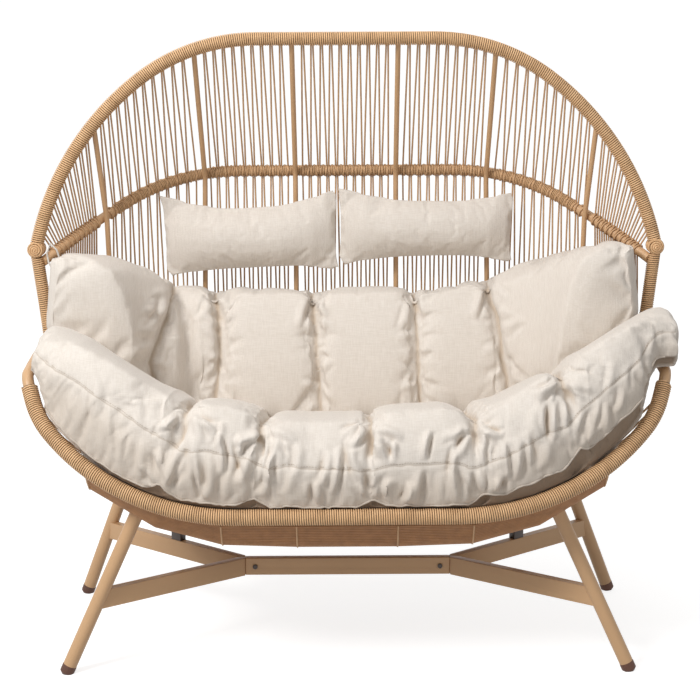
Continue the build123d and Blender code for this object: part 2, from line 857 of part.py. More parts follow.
def groove_at(x, places, width):
    """1 in the bottom of a groove, falling to 0 at its edges."""
    return max(max(0.0, 1 - abs(x - place) / width) for place in places)


def arc_points(start, end, bulge, outward, chords):
    """Points along an arc between two points that bulges a distance the way asked for."""
    middle = start + (end - start) / 2
    arc = ThreePointArc(start, middle + outward.normalized() * bulge, end)
    return [arc @ (step / chords) for step in range(chords + 1)]


def skinned(sections):
    """A solid through closed sections of as many points each, with flat triangles between."""
    faces = [Face(Wire.make_polygon(section)) for section in (sections[0], sections[-1])]
    for one, two in zip(sections, sections[1:]):
        for here in range(len(one)):
            ahead = (here + 1) % len(one)
            faces.append(Face(Wire.make_polygon([one[here], one[ahead], two[ahead]])))
            faces.append(Face(Wire.make_polygon([one[here], two[ahead], two[here]])))
    return Solid(Shell(faces))


rim_end_x = (rim @ 1).X
wall_foot_z = floor_z(rib_front_x[2], rib_drop)
wall_slope = (elbow_end.Z - wall_foot_z) / (elbow_end.X - rail_radius - rib_front_x[2])


def seat_reach(share):
    """How far the seat cushion reaches on the side that a share lies on."""
    return seat_left_reach if share < 0 else seat_right_reach


seat_grooves = [share * seat_reach(share) for share in seat_groove_shares]


def rail_rest_z(y):
    """Height at which the seat cushion rests on the rear rail's side, over the place y."""
    slope = rail_rise.Z / rail_rise.Y
    side_z = elbow_end.Z + (y - elbow_end.Y) * slope
    return side_z + (rail_radius + cushion_gap) * sqrt(1 + slope**2)


def rim_rest_z(x, y):
    """Height at which the seat cushion rests on the rim, over a place of it."""
    if x >= rim_end_x - rim_wound_diameter:
        return rail_rest_z(y)
    share = share_at_x(rim, x)
    slope = (rim % share).Z / (rim % share).X
    height = (rim @ share).Z + (rim_radius + cushion_gap) * sqrt(1 + slope**2)
    return min(height, rail_rest_z(y))


def bowl_rest_z(x, y):
    """Height of the seat cushion's underside over the cradle tubes and inside the side ropes."""
    if x >= rim_end_x - rail_wound_diameter:
        return rail_rest_z(y)
    height = floor_z(min(x, cradle_reach), -cradle_radius - cushion_gap)
    wall = wall_foot_z + (x - rib_front_x[2]) * wall_slope + seat_wall_gap
    return min(max(height, wall), rail_rest_z(y))


def seat_corners(x):
    """The six corners of the seat cushion's section at a place across the seat: rim, roll top,
    back top, back foot, front foot and the shelf behind the rim."""
    side = abs(x)
    share = side / seat_reach(x)
    rise = seat_left_rise if x < 0 else seat_right_rise
    groove = groove_at(x, seat_grooves, seat_groove_width) * seat_groove_depth
    rim_y = (rim @ share_at_x(rim, side)).Y
    back_y = seat_back_y - seat_back_forward * soft_share(seat_rise_shares, share, 3)
    roll_z = seat_roll_z + rise * soft_share(seat_rise_shares, share, 1) - groove
    back_z = seat_back_z + seat_back_rise * soft_share(seat_rise_shares, share, 2)
    rim_rest = rim_rest_z(side, rim_y)
    foot_y = back_y - seat_crown
    toe_y = rim_y + seat_foot_setback
    return [
        Vector(x, rim_y, rim_rest),
        Vector(x, rim_y + seat_roll_setback, roll_z),
        Vector(x, back_y, back_z - groove / 2),
        Vector(x, foot_y, bowl_rest_z(side, foot_y)),
        Vector(x, toe_y, bowl_rest_z(side, toe_y)),
        Vector(x, rim_y + seat_rim_shelf, rim_rest),
    ]


def seat_section(x):
    """The seat cushion's section: a bulging front, a crowned top, a back, a foot and a slope."""
    rim_rest, roll, back, foot, toe, shelf = seat_corners(x)
    groove = groove_at(x, seat_grooves, seat_groove_width)
    bulge = seat_roll_bulge + seat_groove_depth * (1 - groove)
    ahead = Vector(0, rim_rest.Z - roll.Z, roll.Y - rim_rest.Y)
    upward = Vector(0, roll.Z - back.Z, back.Y - roll.Y)
    front = arc_points(rim_rest, roll, bulge, ahead, roll_chords)
    crown = arc_points(roll, back, seat_crown, upward, crown_chords)
    return front + crown[1:] + [foot, toe, shelf]


def seat_top_z(x, y):
    """Height of the seat cushion's top surface."""
    _, roll, back, _, _, _ = seat_corners(x)
    part = min(1.0, max(0.0, (y - roll.Y) / (back.Y - roll.Y)))
    return roll.Z + (back.Z - roll.Z) * part + 4 * seat_crown * part * (1 - part)


def seat_cushion():
    """The seat cushion, skinned over its sections from side to side."""
    shares = seat_plain_shares + seat_panel_shares + seat_end_shares
    places = [share * seat_reach(share) for share in shares]
    for place in seat_grooves:
        places += [place - seat_groove_width, place, place + seat_groove_width]
    return skinned([seat_section(x) for x in sorted(places)])


corner_x = elbow_end.X - rail_corner_radius
corner_y = (rail @ share_at_x(rail, corner_x)).Y - rail_corner_radius * rail_rise.Y / rail_rise.length


def round_corner(part, start, middle, end):
    """A radius that changes evenly to a middle value half way round a corner, then to an end one."""
    if part < 1 / 2:
        return start + (middle - start) * 2 * part
    return middle + (end - middle) * (2 * part - 1)


def back_section(x, turn, channel, shrink):
    """The back cushion's section at a place on its flat part, or turned round a corner."""
    side = -1 if x < 0 else 1
    part = turn / back_wing_turn
    outward = Vector(side * sin(radians(turn)), cos(radians(turn)), 0)
    centre = Vector(x, corner_y, 0)
    top_radius = round_corner(part, back_top_radius, back_corner_radius, back_wing_radius) - shrink
    belly_radius = round_corner(part, back_belly_radius, back_corner_belly, back_wing_belly) - shrink
    reach = abs(x) + top_radius * sin(radians(turn))
    start = back_left_start if x < 0 else back_right_start
    rise = back_left_rise if x < 0 else back_right_rise
    climb = max(0.0, min(1.0, (reach - start) / (back_wing_end - start)))
    climb = climb * climb * (3 - 2 * climb)
    top_z = back_top_z + rise * climb - channel * back_channel_dip - shrink
    thickness = back_thickness - channel * back_channel_depth - 2 * shrink
    foot_radius = min(back_foot_radius, top_radius)
    foot = centre + outward * foot_radius
    toe = centre + outward * (foot_radius - thickness)
    foot.Z = seat_top_z(foot.X, foot.Y) + back_foot_gap
    toe.Z = seat_top_z(toe.X, toe.Y) + back_foot_gap
    belly = centre + outward * belly_radius
    belly.Z = back_belly_z
    shoulder = centre + outward * top_radius
    brow = centre + outward * (top_radius - thickness)
    shoulder.Z = top_z - back_roll_height
    brow.Z = top_z - 2 * back_roll_height
    crown = back_crown * (1 - channel) + cushion_gap
    over = arc_points(shoulder, brow, back_roll_height, Vector(0, 0, 1), roll_chords)
    front = arc_points(brow, toe, crown, -outward, crown_chords)
    return [foot, belly] + over + front[1:]


back_flat_places = sorted([corner_x * share for share in left_flat_shares + right_flat_shares])


def back_cushion():
    """The back cushion, skinned over its sections from the left wing round to the right one."""
    channels = left_channels + right_channels
    sections = []
    for share in reversed(left_wing_shares):
        turn = share * back_wing_turn
        x = -corner_x - back_top_radius * sin(radians(turn))
        shrink = back_end_shrink if share == 1.0 else 0.0
        depth = groove_at(x, left_channels, back_channel_width)
        sections.append(back_section(-corner_x, turn, depth, shrink))
    for x in back_flat_places:
        sections.append(back_section(x, 0.0, groove_at(x, channels, back_channel_width), 0.0))
    for share in wing_turn_shares:
        turn = share * back_wing_turn
        shrink = back_end_shrink if share == 1.0 else 0.0
        sections.append(back_section(corner_x, turn, 0.0, shrink))
    return skinned(sections)


def pillow(middle_x):
    """One head pillow, skinned over lens-shaped sections from end to end."""
    back_y = rail_back_y - rail_radius - rib_diameter + pillow_reach_back
    sections = []
    for share, height_share, depth_share in pillow_form_shares:
        x = middle_x + (share - 1 / 2) * pillow_length
        height = pillow_height * height_share
        depth = pillow_thickness * depth_share / 2
        rise = pillow_corner_rise * (2 * share - 1) ** 2
        top = Vector(x, back_y - pillow_thickness / 2, pillow_middle_z + height / 2 + rise)
        bottom = Vector(x, top.Y, pillow_middle_z - height / 2)
        front = arc_points(bottom, top, depth, Vector(0, -1, 0), pillow_chords)
        back = arc_points(top, bottom, depth, Vector(0, 1, 0), pillow_chords)
        sections.append(front + back[1:-1])
    return skinned(sections)


save("seat_cushion", seat_cushion())
save("back_cushion", back_cushion())
save("head_pillow_right", pillow(pillow_right_x))
save("head_pillow_left", pillow(pillow_left_x))
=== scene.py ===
import math

import bmesh
import bpy
import numpy as np
from mathutils import Matrix, Vector
from mathutils.bvhtree import BVHTree


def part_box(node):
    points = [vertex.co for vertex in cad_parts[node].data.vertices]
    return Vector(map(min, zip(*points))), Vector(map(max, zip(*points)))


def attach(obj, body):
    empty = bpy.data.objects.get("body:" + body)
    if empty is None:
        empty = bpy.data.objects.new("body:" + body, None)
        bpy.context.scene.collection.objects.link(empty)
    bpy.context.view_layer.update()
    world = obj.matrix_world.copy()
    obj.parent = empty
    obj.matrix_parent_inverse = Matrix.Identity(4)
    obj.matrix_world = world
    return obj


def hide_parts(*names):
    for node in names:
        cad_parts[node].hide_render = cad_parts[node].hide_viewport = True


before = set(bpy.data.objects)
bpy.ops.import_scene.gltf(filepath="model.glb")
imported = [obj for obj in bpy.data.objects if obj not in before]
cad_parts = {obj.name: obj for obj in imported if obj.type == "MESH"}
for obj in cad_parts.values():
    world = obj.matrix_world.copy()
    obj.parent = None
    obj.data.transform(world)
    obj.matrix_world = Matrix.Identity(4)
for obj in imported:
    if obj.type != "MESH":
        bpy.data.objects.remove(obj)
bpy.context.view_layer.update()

# The place it is photographed in: a white studio with a pale floor and soft light from the
# upper left, seen from a little above the seat.
camera_place = Vector((0.0, -3.9404, 1.452))
camera_pitch = 0.20
camera_yaw = 0.002
camera_roll = -0.005
camera_focal_px = 1800.0
photo_width_px = 700.0
sensor_width_mm = 36.0
floor_half = 400.0
floor_lift = 0.76
floor_colour = (0.5, 0.5, 0.5, 1)
floor_roughness = 0.9
room_light = 0.42
room_tint = (1, 0.985, 0.965, 1)
lamp_aim = Vector((0, 0, 0.6))
lamp_list = (
    ("key_lamp", (-2.7, -2.9, 3.8), 1.6, 175.0),
    ("fill_lamp", (3.0, -3.4, 1.8), 2.4, 8.0),
    ("top_lamp", (-0.3, -0.6, 4.2), 3.0, 40.0),
)


def aim_camera():
    """Places the camera by its measured pitch, yaw and roll."""
    data = bpy.data.cameras.new("view_camera")
    data.sensor_width = sensor_width_mm
    data.lens = camera_focal_px / photo_width_px * sensor_width_mm
    camera = linked("view_camera", data)
    right = Vector((math.cos(camera_yaw), -math.sin(camera_yaw), 0.0))
    level = Vector((math.sin(camera_yaw), math.cos(camera_yaw), 0.0))
    forward = level * math.cos(camera_pitch) - Vector((0, 0, math.sin(camera_pitch)))
    up = right.cross(forward)
    turned_right = right * math.cos(camera_roll) + up * math.sin(camera_roll)
    turned_up = up * math.cos(camera_roll) - right * math.sin(camera_roll)
    turn = Matrix((turned_right, turned_up, -forward)).transposed().to_4x4()
    camera.matrix_world = Matrix.Translation(camera_place) @ turn
    bpy.context.scene.camera = camera


def put(tree, kind, sockets=None, settings=None):
    """Adds a node to a tree, sets its options, and fills or links its inputs."""
    node = tree.nodes.new(kind)
    for label, value in (settings or {}).items():
        setattr(node, label, value)
    for label, value in (sockets or {}).items():
        if isinstance(value, bpy.types.NodeSocket):
            tree.links.new(value, node.inputs[label])
        else:
            node.inputs[label].default_value = value
    return node


def new_finish(name, roughness):
    """A material with its tree emptied down to an output and a plain surface shader."""
    finish = bpy.data.materials.new(name)
    finish.use_nodes = True
    tree = finish.node_tree
    tree.nodes.clear()
    surface = put(tree, "ShaderNodeBsdfPrincipled", {"Roughness": roughness})
    leave = put(tree, "ShaderNodeOutputMaterial")
    tree.links.new(surface.outputs["BSDF"], leave.inputs["Surface"])
    return finish, tree, surface


def maths(tree, operation, one, two=0.5, clamp=False):
    """The result of one sum in a tree."""
    settings = {"operation": operation, "use_clamp": clamp}
    return put(tree, "ShaderNodeMath", {0: one, 1: two}, settings).outputs[0]


def cloud(tree, place, scale, detail):
    """Soft noise in a tree."""
    sockets = {"Vector": place, "Scale": scale, "Detail": detail}
    return put(tree, "ShaderNodeTexNoise", sockets).outputs["Fac"]


def kept_value(tree, name):
    """A value that the mesh keeps under a name, read in a material."""
    return put(tree, "ShaderNodeAttribute", {}, {"attribute_name": name}).outputs["Fac"]


def blend(tree, share, one, two):
    """A colour that goes from one to two with a share."""
    mix = put(tree, "ShaderNodeMix", {0: share, 6: one, 7: two}, {"data_type": "RGBA"})
    return mix.outputs[2]


def dress(tree, surface, colour, height, strength, depth):
    """Gives a surface its colour and its fine relief."""
    tree.links.new(colour, surface.inputs["Base Color"])
    bump = put(tree, "ShaderNodeBump", {"Height": height, "Strength": strength, "Distance": depth})
    tree.links.new(bump.outputs["Normal"], surface.inputs["Normal"])


def mask_group(name, label):
    """An empty shader group with one number in, and a colour mask and a height out."""
    group = bpy.data.node_groups.new(name, "ShaderNodeTree")
    for way, socket in (("INPUT", label), ("OUTPUT", "Mask"), ("OUTPUT", "Height")):
        group.interface.new_socket(socket, in_out=way, socket_type="NodeSocketFloat")
    enter = group.nodes.new("NodeGroupInput")
    leave = group.nodes.new("NodeGroupOutput")
    place = put(group, "ShaderNodeTexCoord")
    return group, enter.outputs[label], leave.inputs, place.outputs["Object"]


def group_in(tree, group, label, value):
    """A shader group's mask and height in a material."""
    node = put(tree, "ShaderNodeGroup", {label: value}, {"node_tree": group})
    return node.outputs["Mask"], node.outputs["Height"]


def linked(name, data):
    """A new object in the scene."""
    thing = bpy.data.objects.new(name, data)
    bpy.context.scene.collection.objects.link(thing)
    return thing


def seen_share(tree):
    """1 for the rays that show a surface: from the camera, off gloss and through glass."""
    path = put(tree, "ShaderNodeLightPath").outputs
    shown = maths(tree, "ADD", path["Is Camera Ray"], path["Is Glossy Ray"])
    return maths(tree, "ADD", shown, path["Is Transmission Ray"], True)


def lay_floor():
    """A wide white floor that keeps the loveseat's soft shadow."""
    mesh = bpy.data.meshes.new("studio_floor")
    corners = [(x * floor_half, y * floor_half, 0) for x, y in ((-1, -1), (1, -1), (1, 1), (-1, 1))]
    mesh.from_pydata(corners, [], [(0, 1, 2, 3)])
    floor = linked("studio_floor", mesh)
    finish, tree, surface = new_finish("floor_white", floor_roughness)
    surface.inputs["Base Color"].default_value = floor_colour
    surface.inputs["Emission Color"].default_value = (1, 1, 1, 1)
    lift = maths(tree, "MULTIPLY", seen_share(tree), floor_lift)
    tree.links.new(lift, surface.inputs["Emission Strength"])
    mesh.materials.append(finish)


def light_studio():
    """A white surround and three large soft lamps."""
    world = bpy.data.worlds.new("studio_air")
    bpy.context.scene.world = world
    world.use_nodes = True
    tree = world.node_tree
    tree.nodes.clear()
    seen = put(tree, "ShaderNodeBackground", {"Color": (1, 1, 1, 1), "Strength": 1.0})
    felt = put(tree, "ShaderNodeBackground", {"Color": room_tint, "Strength": room_light})
    sockets = {0: seen_share(tree), 1: felt.outputs[0], 2: seen.outputs[0]}
    mix = put(tree, "ShaderNodeMixShader", sockets)
    put(tree, "ShaderNodeOutputWorld", {"Surface": mix.outputs[0]})
    for name, place, size, power in lamp_list:
        data = bpy.data.lights.new(name, "AREA")
        data.shape = "DISK"
        data.size = size
        data.energy = power
        lamp = linked(name, data)
        lamp.location = place
        lamp.rotation_euler = (lamp_aim - lamp.location).to_track_quat("-Z", "Y").to_euler()


bpy.context.scene.view_settings.view_transform = "Standard"
aim_camera()
lay_floor()
light_studio()

# Legs, braces and beam: round and flat steel tube, welded together and powder coated in a
# satin sand colour. The front of the beam has two dark screws, and each foot a brown rubber cap.
brace_edge = 0.0025
sand_colour = (0.60, 0.375, 0.20, 1)
sand_shade = (0.53, 0.325, 0.17, 1)
foot_colour = (0.15, 0.055, 0.03, 1)
dark_colour = (0.045, 0.026, 0.018, 1)
cap_rounding = 0.004
coat_relief = 0.25
merge_gap = 0.00002
flat_angle = 0.02
edge_segments = 3
crisp_angle = 50


def speckle_group():
    """Fine grain for coated metal: a colour mask and a height, from noise on the object."""
    group, fineness, leave, place = mask_group("coat_grain", "Fineness")
    group.links.new(cloud(group, place, 9.0, 3.0), leave["Mask"])
    group.links.new(cloud(group, place, fineness, 2.0), leave["Height"])
    return group


coat_grain = speckle_group()


def coated(name, light, dark, roughness, fineness, depth):
    """A coated or moulded finish: two close tones, an even gloss and a fine skin."""
    finish, tree, surface = new_finish(name, roughness)
    mask, height = group_in(tree, coat_grain, "Fineness", fineness)
    dress(tree, surface, blend(tree, mask, dark, light), height, coat_relief, depth)
    return finish


sand_coat = coated("sand_coat", sand_colour, sand_shade, 0.42, 900.0, 0.0002)
foot_rubber = coated("foot_rubber", foot_colour, dark_colour, 0.6, 500.0, 0.0003)
dark_coat = coated("dark_coat", dark_colour, dark_colour, 0.35, 900.0, 0.0001)


def merged_copy(node, name):
    """A copy of a frame node's mesh with its loose triangles joined."""
    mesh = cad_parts[node].data.copy()
    mesh.name = name
    work = bmesh.new()
    work.from_mesh(mesh)
    bmesh.ops.remove_doubles(work, verts=work.verts, dist=merge_gap)
    bmesh.ops.dissolve_limit(work, angle_limit=flat_angle, verts=work.verts, edges=work.edges)
    work.to_mesh(mesh)
    work.free()
    mesh.materials.clear()
    return linked(name, mesh)


def settle(piece):
    """Bakes a piece's modifiers into its mesh."""
    graph = bpy.context.evaluated_depsgraph_get()
    mesh = bpy.data.meshes.new_from_object(piece.evaluated_get(graph), depsgraph=graph)
    piece.modifiers.clear()
    piece.data = mesh
    return piece


def eased(node, finish, width, smooth):
    """A frame node with softly rounded edges in a finish of its own."""
    piece = merged_copy(node, node + "_coat")
    bevel = piece.modifiers.new("edge", "BEVEL")
    bevel.width = width
    bevel.segments = edge_segments
    bevel.limit_method = "ANGLE"
    bevel.angle_limit = math.radians(smooth)
    bevel.harden_normals = False
    settle(piece)
    piece.data.materials.append(finish)
    piece.data.shade_smooth()
    piece.data.set_sharp_from_angle(angle=math.radians(crisp_angle))
    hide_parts(node)
    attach(piece, "root")
    return piece


def recoated(node, finish):
    """Gives a frame node's own mesh another finish."""
    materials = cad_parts[node].data.materials
    materials.clear()
    materials.append(finish)


for node in ("front_brace_left", "front_brace_right", "rear_brace_left", "rear_brace_right", "centre_beam"):
    eased(node, sand_coat, brace_edge, 50)
for node in ("front_leg_left", "front_leg_right", "rear_leg_left", "rear_leg_right", "leg_plates"):
    recoated(node, sand_coat)
eased("foot_caps", foot_rubber, cap_rounding, 15)
eased("support_blocks", dark_coat, brace_edge / 2, 50)
eased("beam_screws", dark_coat, brace_edge / 3, 40)
recoated("leg_studs", dark_coat)

# Bent hoops of the frame: the back hoop, the mid ring, the front rim and the rear rail behind
# the cushions. Each is round steel tube, and rope is wound closely round most of them.
arch_middle = (0.1586, 1.335)
arch_flat = 0.2
arch_bends = ((0.435, 37.3), (0.64, 39.7), (0.2, 4.5))
knuckle_middle = (0.1086, 0.868)
ring_middle = (0.3786, 1.017)
ring_end_z = 0.842
ring_flat = 0.247
ring_bends = ((0.366, 46.2), (1.95, 8.1))
rim_middle = (-0.3714, 0.377)
arm_tip = (-0.2112, 0.62)
rim_flat = 0.2276
rim_bends = ((0.5156, 50.8), (0.2, 21.8), (1.2, 1.7))
elbow_leg = 0.026
elbow_radius = 0.042
elbow_run_back = 0.04
rail_middle = (0.3696, 0.69)
rail_corner = 0.35
path_step = 0.006


def walk(flat, bends, sign):
    """Places along the right half of a flat hoop, from its middle, in the hoop's own plane."""
    places = [(0.0, 0.0), (flat, 0.0)]
    heading = 0.0
    for radius, turn in bends:
        count = max(2, int(radius * math.radians(turn) / path_step))
        step = sign * math.radians(turn) / count
        chord = 2 * radius * math.sin(abs(step) / 2)
        for _ in range(count):
            x, y = places[-1]
            middle = heading + step / 2
            places.append((x + chord * math.cos(middle), y + chord * math.sin(middle)))
            heading += step
    return places, heading


def half_hoop(middle, toward, flat, bends, sign):
    """The right half of a hoop in space, and its direction at the end."""
    up = Vector((0, toward[0] - middle[0], toward[1] - middle[1])).normalized()
    places, heading = walk(flat, bends, sign)
    origin = Vector((0, middle[0], middle[1]))
    points = [origin + Vector((x, 0, 0)) + up * y for x, y in places]
    return points, Vector((math.cos(heading), 0, 0)) + up * math.sin(heading)


def mirrored(route):
    """The same route on the left."""
    return [Vector((-point.x, point.y, point.z)) for point in route]


def both_sides(half):
    """A whole hoop from its right half."""
    return mirrored(reversed(half[1:])) + half


def beyond(middle, other):
    """The place as far past the middle as another place is before it."""
    return (2 * middle[0] - other[0], 2 * middle[1] - other[1])


arch, _ = half_hoop(arch_middle, beyond(arch_middle, knuckle_middle), arch_flat, arch_bends, -1)
ring_end = (knuckle_middle[0], ring_end_z)
ring, _ = half_hoop(ring_middle, beyond(ring_middle, ring_end), ring_flat, ring_bends, -1)
rim, rim_heading = half_hoop(rim_middle, arm_tip, rim_flat, rim_bends, 1)
elbow_corner = rim[-1] + rim_heading * elbow_leg
rail_rise = Vector((0, rail_middle[0] - elbow_corner.y, rail_middle[1] - elbow_corner.z))
elbow_end = elbow_corner + rail_rise.normalized() * (elbow_run_back + elbow_leg)


def half_rail():
    """The right half of the rear rail, from its middle round to the elbow."""
    up = rail_rise.normalized()
    flat = elbow_end.x - rail_corner
    places, _ = walk(flat, ((rail_corner, 90.0),), -1)
    origin = Vector((0, rail_middle[0], rail_middle[1]))
    return [origin + Vector((x, 0, 0)) + up * y for x, y in places] + [elbow_end]


rail = half_rail()


def rounded(corners, radii):
    """A route through corners, each rounded to a radius."""
    route = [corners[0]]
    for before, corner, after, radius in zip(corners, corners[1:], corners[2:], radii):
        one = (before - corner).normalized()
        two = (after - corner).normalized()
        half = one.angle(two) / 2
        reach = radius / math.tan(half)
        centre = corner + (one + two).normalized() * (radius / math.sin(half))
        start = corner + one * reach - centre
        end = corner + two * reach - centre
        turn = start.angle(end)
        count = max(3, int(radius * turn / path_step))
        for step in range(count + 1):
            share = step / count
            swing = start * math.sin((1 - share) * turn) + end * math.sin(share * turn)
            route.append(centre + swing / math.sin(turn))
    return route + [corners[-1]]


def path_mesh(name, routes):
    """A mesh of bare edges that Geometry Nodes turn into tubes or windings."""
    points, edges = [], []
    for route in routes:
        first = len(points)
        points += [tuple(point) for point in route]
        edges += [(first + step, first + step + 1) for step in range(len(route) - 1)]
    mesh = bpy.data.meshes.new(name)
    mesh.from_pydata(points, edges, [])
    return linked(name, mesh)


def new_tree(name, labels):
    """An empty Geometry Nodes tree with named inputs, which are lengths or as their name says."""
    kinds = {"Geometry": "NodeSocketGeometry", "Sides": "NodeSocketInt", "Material": "NodeSocketMaterial"}
    tree = bpy.data.node_groups.new(name, "GeometryNodeTree")
    for label in ("Geometry",) + labels:
        kind = kinds.get(label, "NodeSocketFloat")
        tree.interface.new_socket(label, in_out="INPUT", socket_type=kind)
    tree.interface.new_socket("Geometry", in_out="OUTPUT", socket_type=kinds["Geometry"])
    return tree, put(tree, "NodeGroupInput").outputs, put(tree, "NodeGroupOutput").inputs


def vector_maths(tree, operation, sockets, result=0):
    """The result of one sum with vectors in a tree."""
    return put(tree, "ShaderNodeVectorMath", sockets, {"operation": operation}).outputs[result]


def stored(tree, geometry, name, value, kind="FLOAT"):
    """Geometry that keeps a value at each point under a name."""
    sockets = {"Geometry": geometry, "Name": name, "Value": value}
    return put(tree, "GeometryNodeStoreNamedAttribute", sockets, {"data_type": kind}).outputs[0]


def round_along(tree, curve, sides, radius):
    """A round tube along a curve, which keeps how far along and around each point is."""
    reach = put(tree, "GeometryNodeSplineParameter").outputs
    along = stored(tree, curve, "along", reach["Length"])
    ring_of = put(tree, "GeometryNodeCurvePrimitiveCircle", {"Resolution": sides, "Radius": radius})
    around = stored(tree, ring_of.outputs[0], "around", reach["Factor"])
    sockets = {"Curve": along, "Profile Curve": around, "Fill Caps": True}
    return put(tree, "GeometryNodeCurveToMesh", sockets).outputs[0]


def finish_tree(tree, solid, material, leave):
    """Ends a tree: smooth shading, real geometry, then its material."""
    smooth = put(tree, "GeometryNodeSetShadeSmooth", {"Geometry": solid})
    real = put(tree, "GeometryNodeRealizeInstances", {"Geometry": smooth.outputs[0]})
    dressed = put(tree, "GeometryNodeSetMaterial", {"Geometry": real.outputs[0], "Material": material})
    tree.links.new(dressed.outputs[0], leave[0])


def tube_tree():
    """Turns edges into round tubes."""
    tree, enter, leave = new_tree("tube_along", ("Radius", "Sides", "Material"))
    curve = put(tree, "GeometryNodeMeshToCurve", {0: enter["Geometry"]}).outputs[0]
    tube = round_along(tree, curve, enter["Sides"], enter["Radius"])
    finish_tree(tree, tube, enter["Material"], leave)
    return tree


def winding_tree():
    """Turns edges into rope wound round them: a helix that follows the route."""
    labels = ("Pitch", "Step", "Winding Radius", "Rope Radius", "Sides", "Material")
    tree, enter, leave = new_tree("rope_wound_round", labels)
    curve = put(tree, "GeometryNodeMeshToCurve", {0: enter["Geometry"]})
    steps = {"Curve": curve.outputs[0], "Length": enter["Step"]}
    fine = put(tree, "GeometryNodeResampleCurve", steps, {"mode": "LENGTH"})
    length = put(tree, "GeometryNodeSplineParameter").outputs["Length"]
    angle = maths(tree, "MULTIPLY", maths(tree, "DIVIDE", length, enter["Pitch"]), 2 * math.pi)
    normal = put(tree, "GeometryNodeInputNormal").outputs[0]
    tangent = put(tree, "GeometryNodeInputTangent").outputs[0]
    other = vector_maths(tree, "CROSS_PRODUCT", {0: tangent, 1: normal})
    one = vector_maths(tree, "SCALE", {0: normal, "Scale": maths(tree, "COSINE", angle)})
    two = vector_maths(tree, "SCALE", {0: other, "Scale": maths(tree, "SINE", angle)})
    swing = vector_maths(tree, "ADD", {0: one, 1: two})
    offset = vector_maths(tree, "SCALE", {0: swing, "Scale": enter["Winding Radius"]})
    aimed = stored(tree, fine.outputs[0], "outward", swing, "FLOAT_VECTOR")
    helix = put(tree, "GeometryNodeSetPosition", {"Geometry": aimed, "Offset": offset})
    rope = round_along(tree, helix.outputs[0], enter["Sides"], enter["Rope Radius"])
    settings = {"data_type": "FLOAT_VECTOR"}
    outward = put(tree, "GeometryNodeInputNamedAttribute", {"Name": "outward"}, settings)
    faced = put(tree, "GeometryNodeInputNormal").outputs[0]
    rise = vector_maths(tree, "DOT_PRODUCT", {0: outward.outputs[0], 1: faced}, "Value")
    # How far each face turns from the winding's outside, kept for the painted shade between turns.
    marked = stored(tree, rope, "sunk_shade", maths(tree, "SUBTRACT", 1.0, rise))
    finish_tree(tree, marked, enter["Material"], leave)
    return tree


tube_along = tube_tree()
rope_wound_round = winding_tree()


def grow(piece, tree, values):
    """Runs a Geometry Nodes tree on a piece and keeps the result as its mesh."""
    modifier = piece.modifiers.new("grow", "NODES")
    modifier.node_group = tree
    for item in tree.interface.items_tree:
        if item.item_type == "SOCKET" and item.in_out == "INPUT" and item.name in values:
            modifier[item.identifier] = values[item.name]
    bpy.context.view_layer.update()
    return settle(piece)


def joined(name, pieces):
    """Several pieces as one, each face keeping its material."""
    work = bmesh.new()
    materials = []
    for piece in pieces:
        start = len(work.faces)
        work.from_mesh(piece.data)
        work.faces.ensure_lookup_table()
        slots = []
        for material in piece.data.materials:
            if material not in materials:
                materials.append(material)
            slots.append(materials.index(material))
        for face in work.faces[start:]:
            face.material_index = slots[min(face.material_index, len(slots) - 1)]
    mesh = bpy.data.meshes.new(name)
    work.to_mesh(mesh)
    work.free()
    for material in materials:
        mesh.materials.append(material)
    for piece in pieces:
        bpy.data.objects.remove(piece)
    return linked(name, mesh)


# Rope: round synthetic cord of one make throughout, straw and tan, laid from fine twisted yarns.
# It is drawn in lit and shaded copies of one colour, as painted light and shade: lightest on the
# windings, darker on the mid ring's turns and the single runs, darkest on the seat web underneath.
rope_light = (0.95, 0.625, 0.345, 1)
rope_dark = (0.62, 0.36, 0.175, 1)
# The painted shade colour: between the turns of a winding, and on the cores under the windings.
rope_gap_shade = (0.15, 0.07, 0.025, 1)
# Darker copies of the rope colour as painted shade: the mid ring's turns, the single runs and the seat web.
ring_light = (0.78, 0.50, 0.27, 1)
ring_dark = (0.48, 0.275, 0.13, 1)
run_light = (0.74, 0.48, 0.27, 1)
run_dark = (0.46, 0.27, 0.135, 1)
web_light = (0.56, 0.28, 0.12, 1)
web_dark = (0.28, 0.125, 0.048, 1)
rope_lay = 0.009
yarns = 3.0
yarn_streak = 0.16
rope_roughness = 0.55
rope_relief = (0.6, 0.0004)
gap_shade_span = (0.12, 0.80)


def yarn_group():
    """The twist of a laid rope: a height and a mask from how far along and around it is."""
    group, lay, leave, place = mask_group("rope_lay", "Lay")
    turns = maths(group, "DIVIDE", kept_value(group, "along"), lay)
    both = maths(group, "ADD", kept_value(group, "around"), turns)
    wave = maths(group, "SINE", maths(group, "MULTIPLY", both, yarns * 2 * math.pi))
    streak = maths(group, "MULTIPLY", wave, yarn_streak)
    mask = maths(group, "ADD", cloud(group, place, 55.0, 4.0), streak, True)
    group.links.new(wave, leave["Height"])
    group.links.new(mask, leave["Mask"])
    return group


rope_lay_group = yarn_group()


def rope_finish(name, light, dark):
    """Rope in a lighter and a darker tone, with painted shade where one turn of a winding meets the next.
    """
    finish, tree, surface = new_finish(name, rope_roughness)
    mask, height = group_in(tree, rope_lay_group, "Lay", rope_lay)
    # Painted shade: darkest at the sides of each turn, where it meets the next.
    span = {"Value": kept_value(tree, "sunk_shade"), "From Min": gap_shade_span[0], "From Max": gap_shade_span[1]}
    deep = put(tree, "ShaderNodeMapRange", span).outputs[0]
    colour = blend(tree, deep, blend(tree, mask, dark, light), rope_gap_shade)
    dress(tree, surface, colour, height, *rope_relief)
    return finish


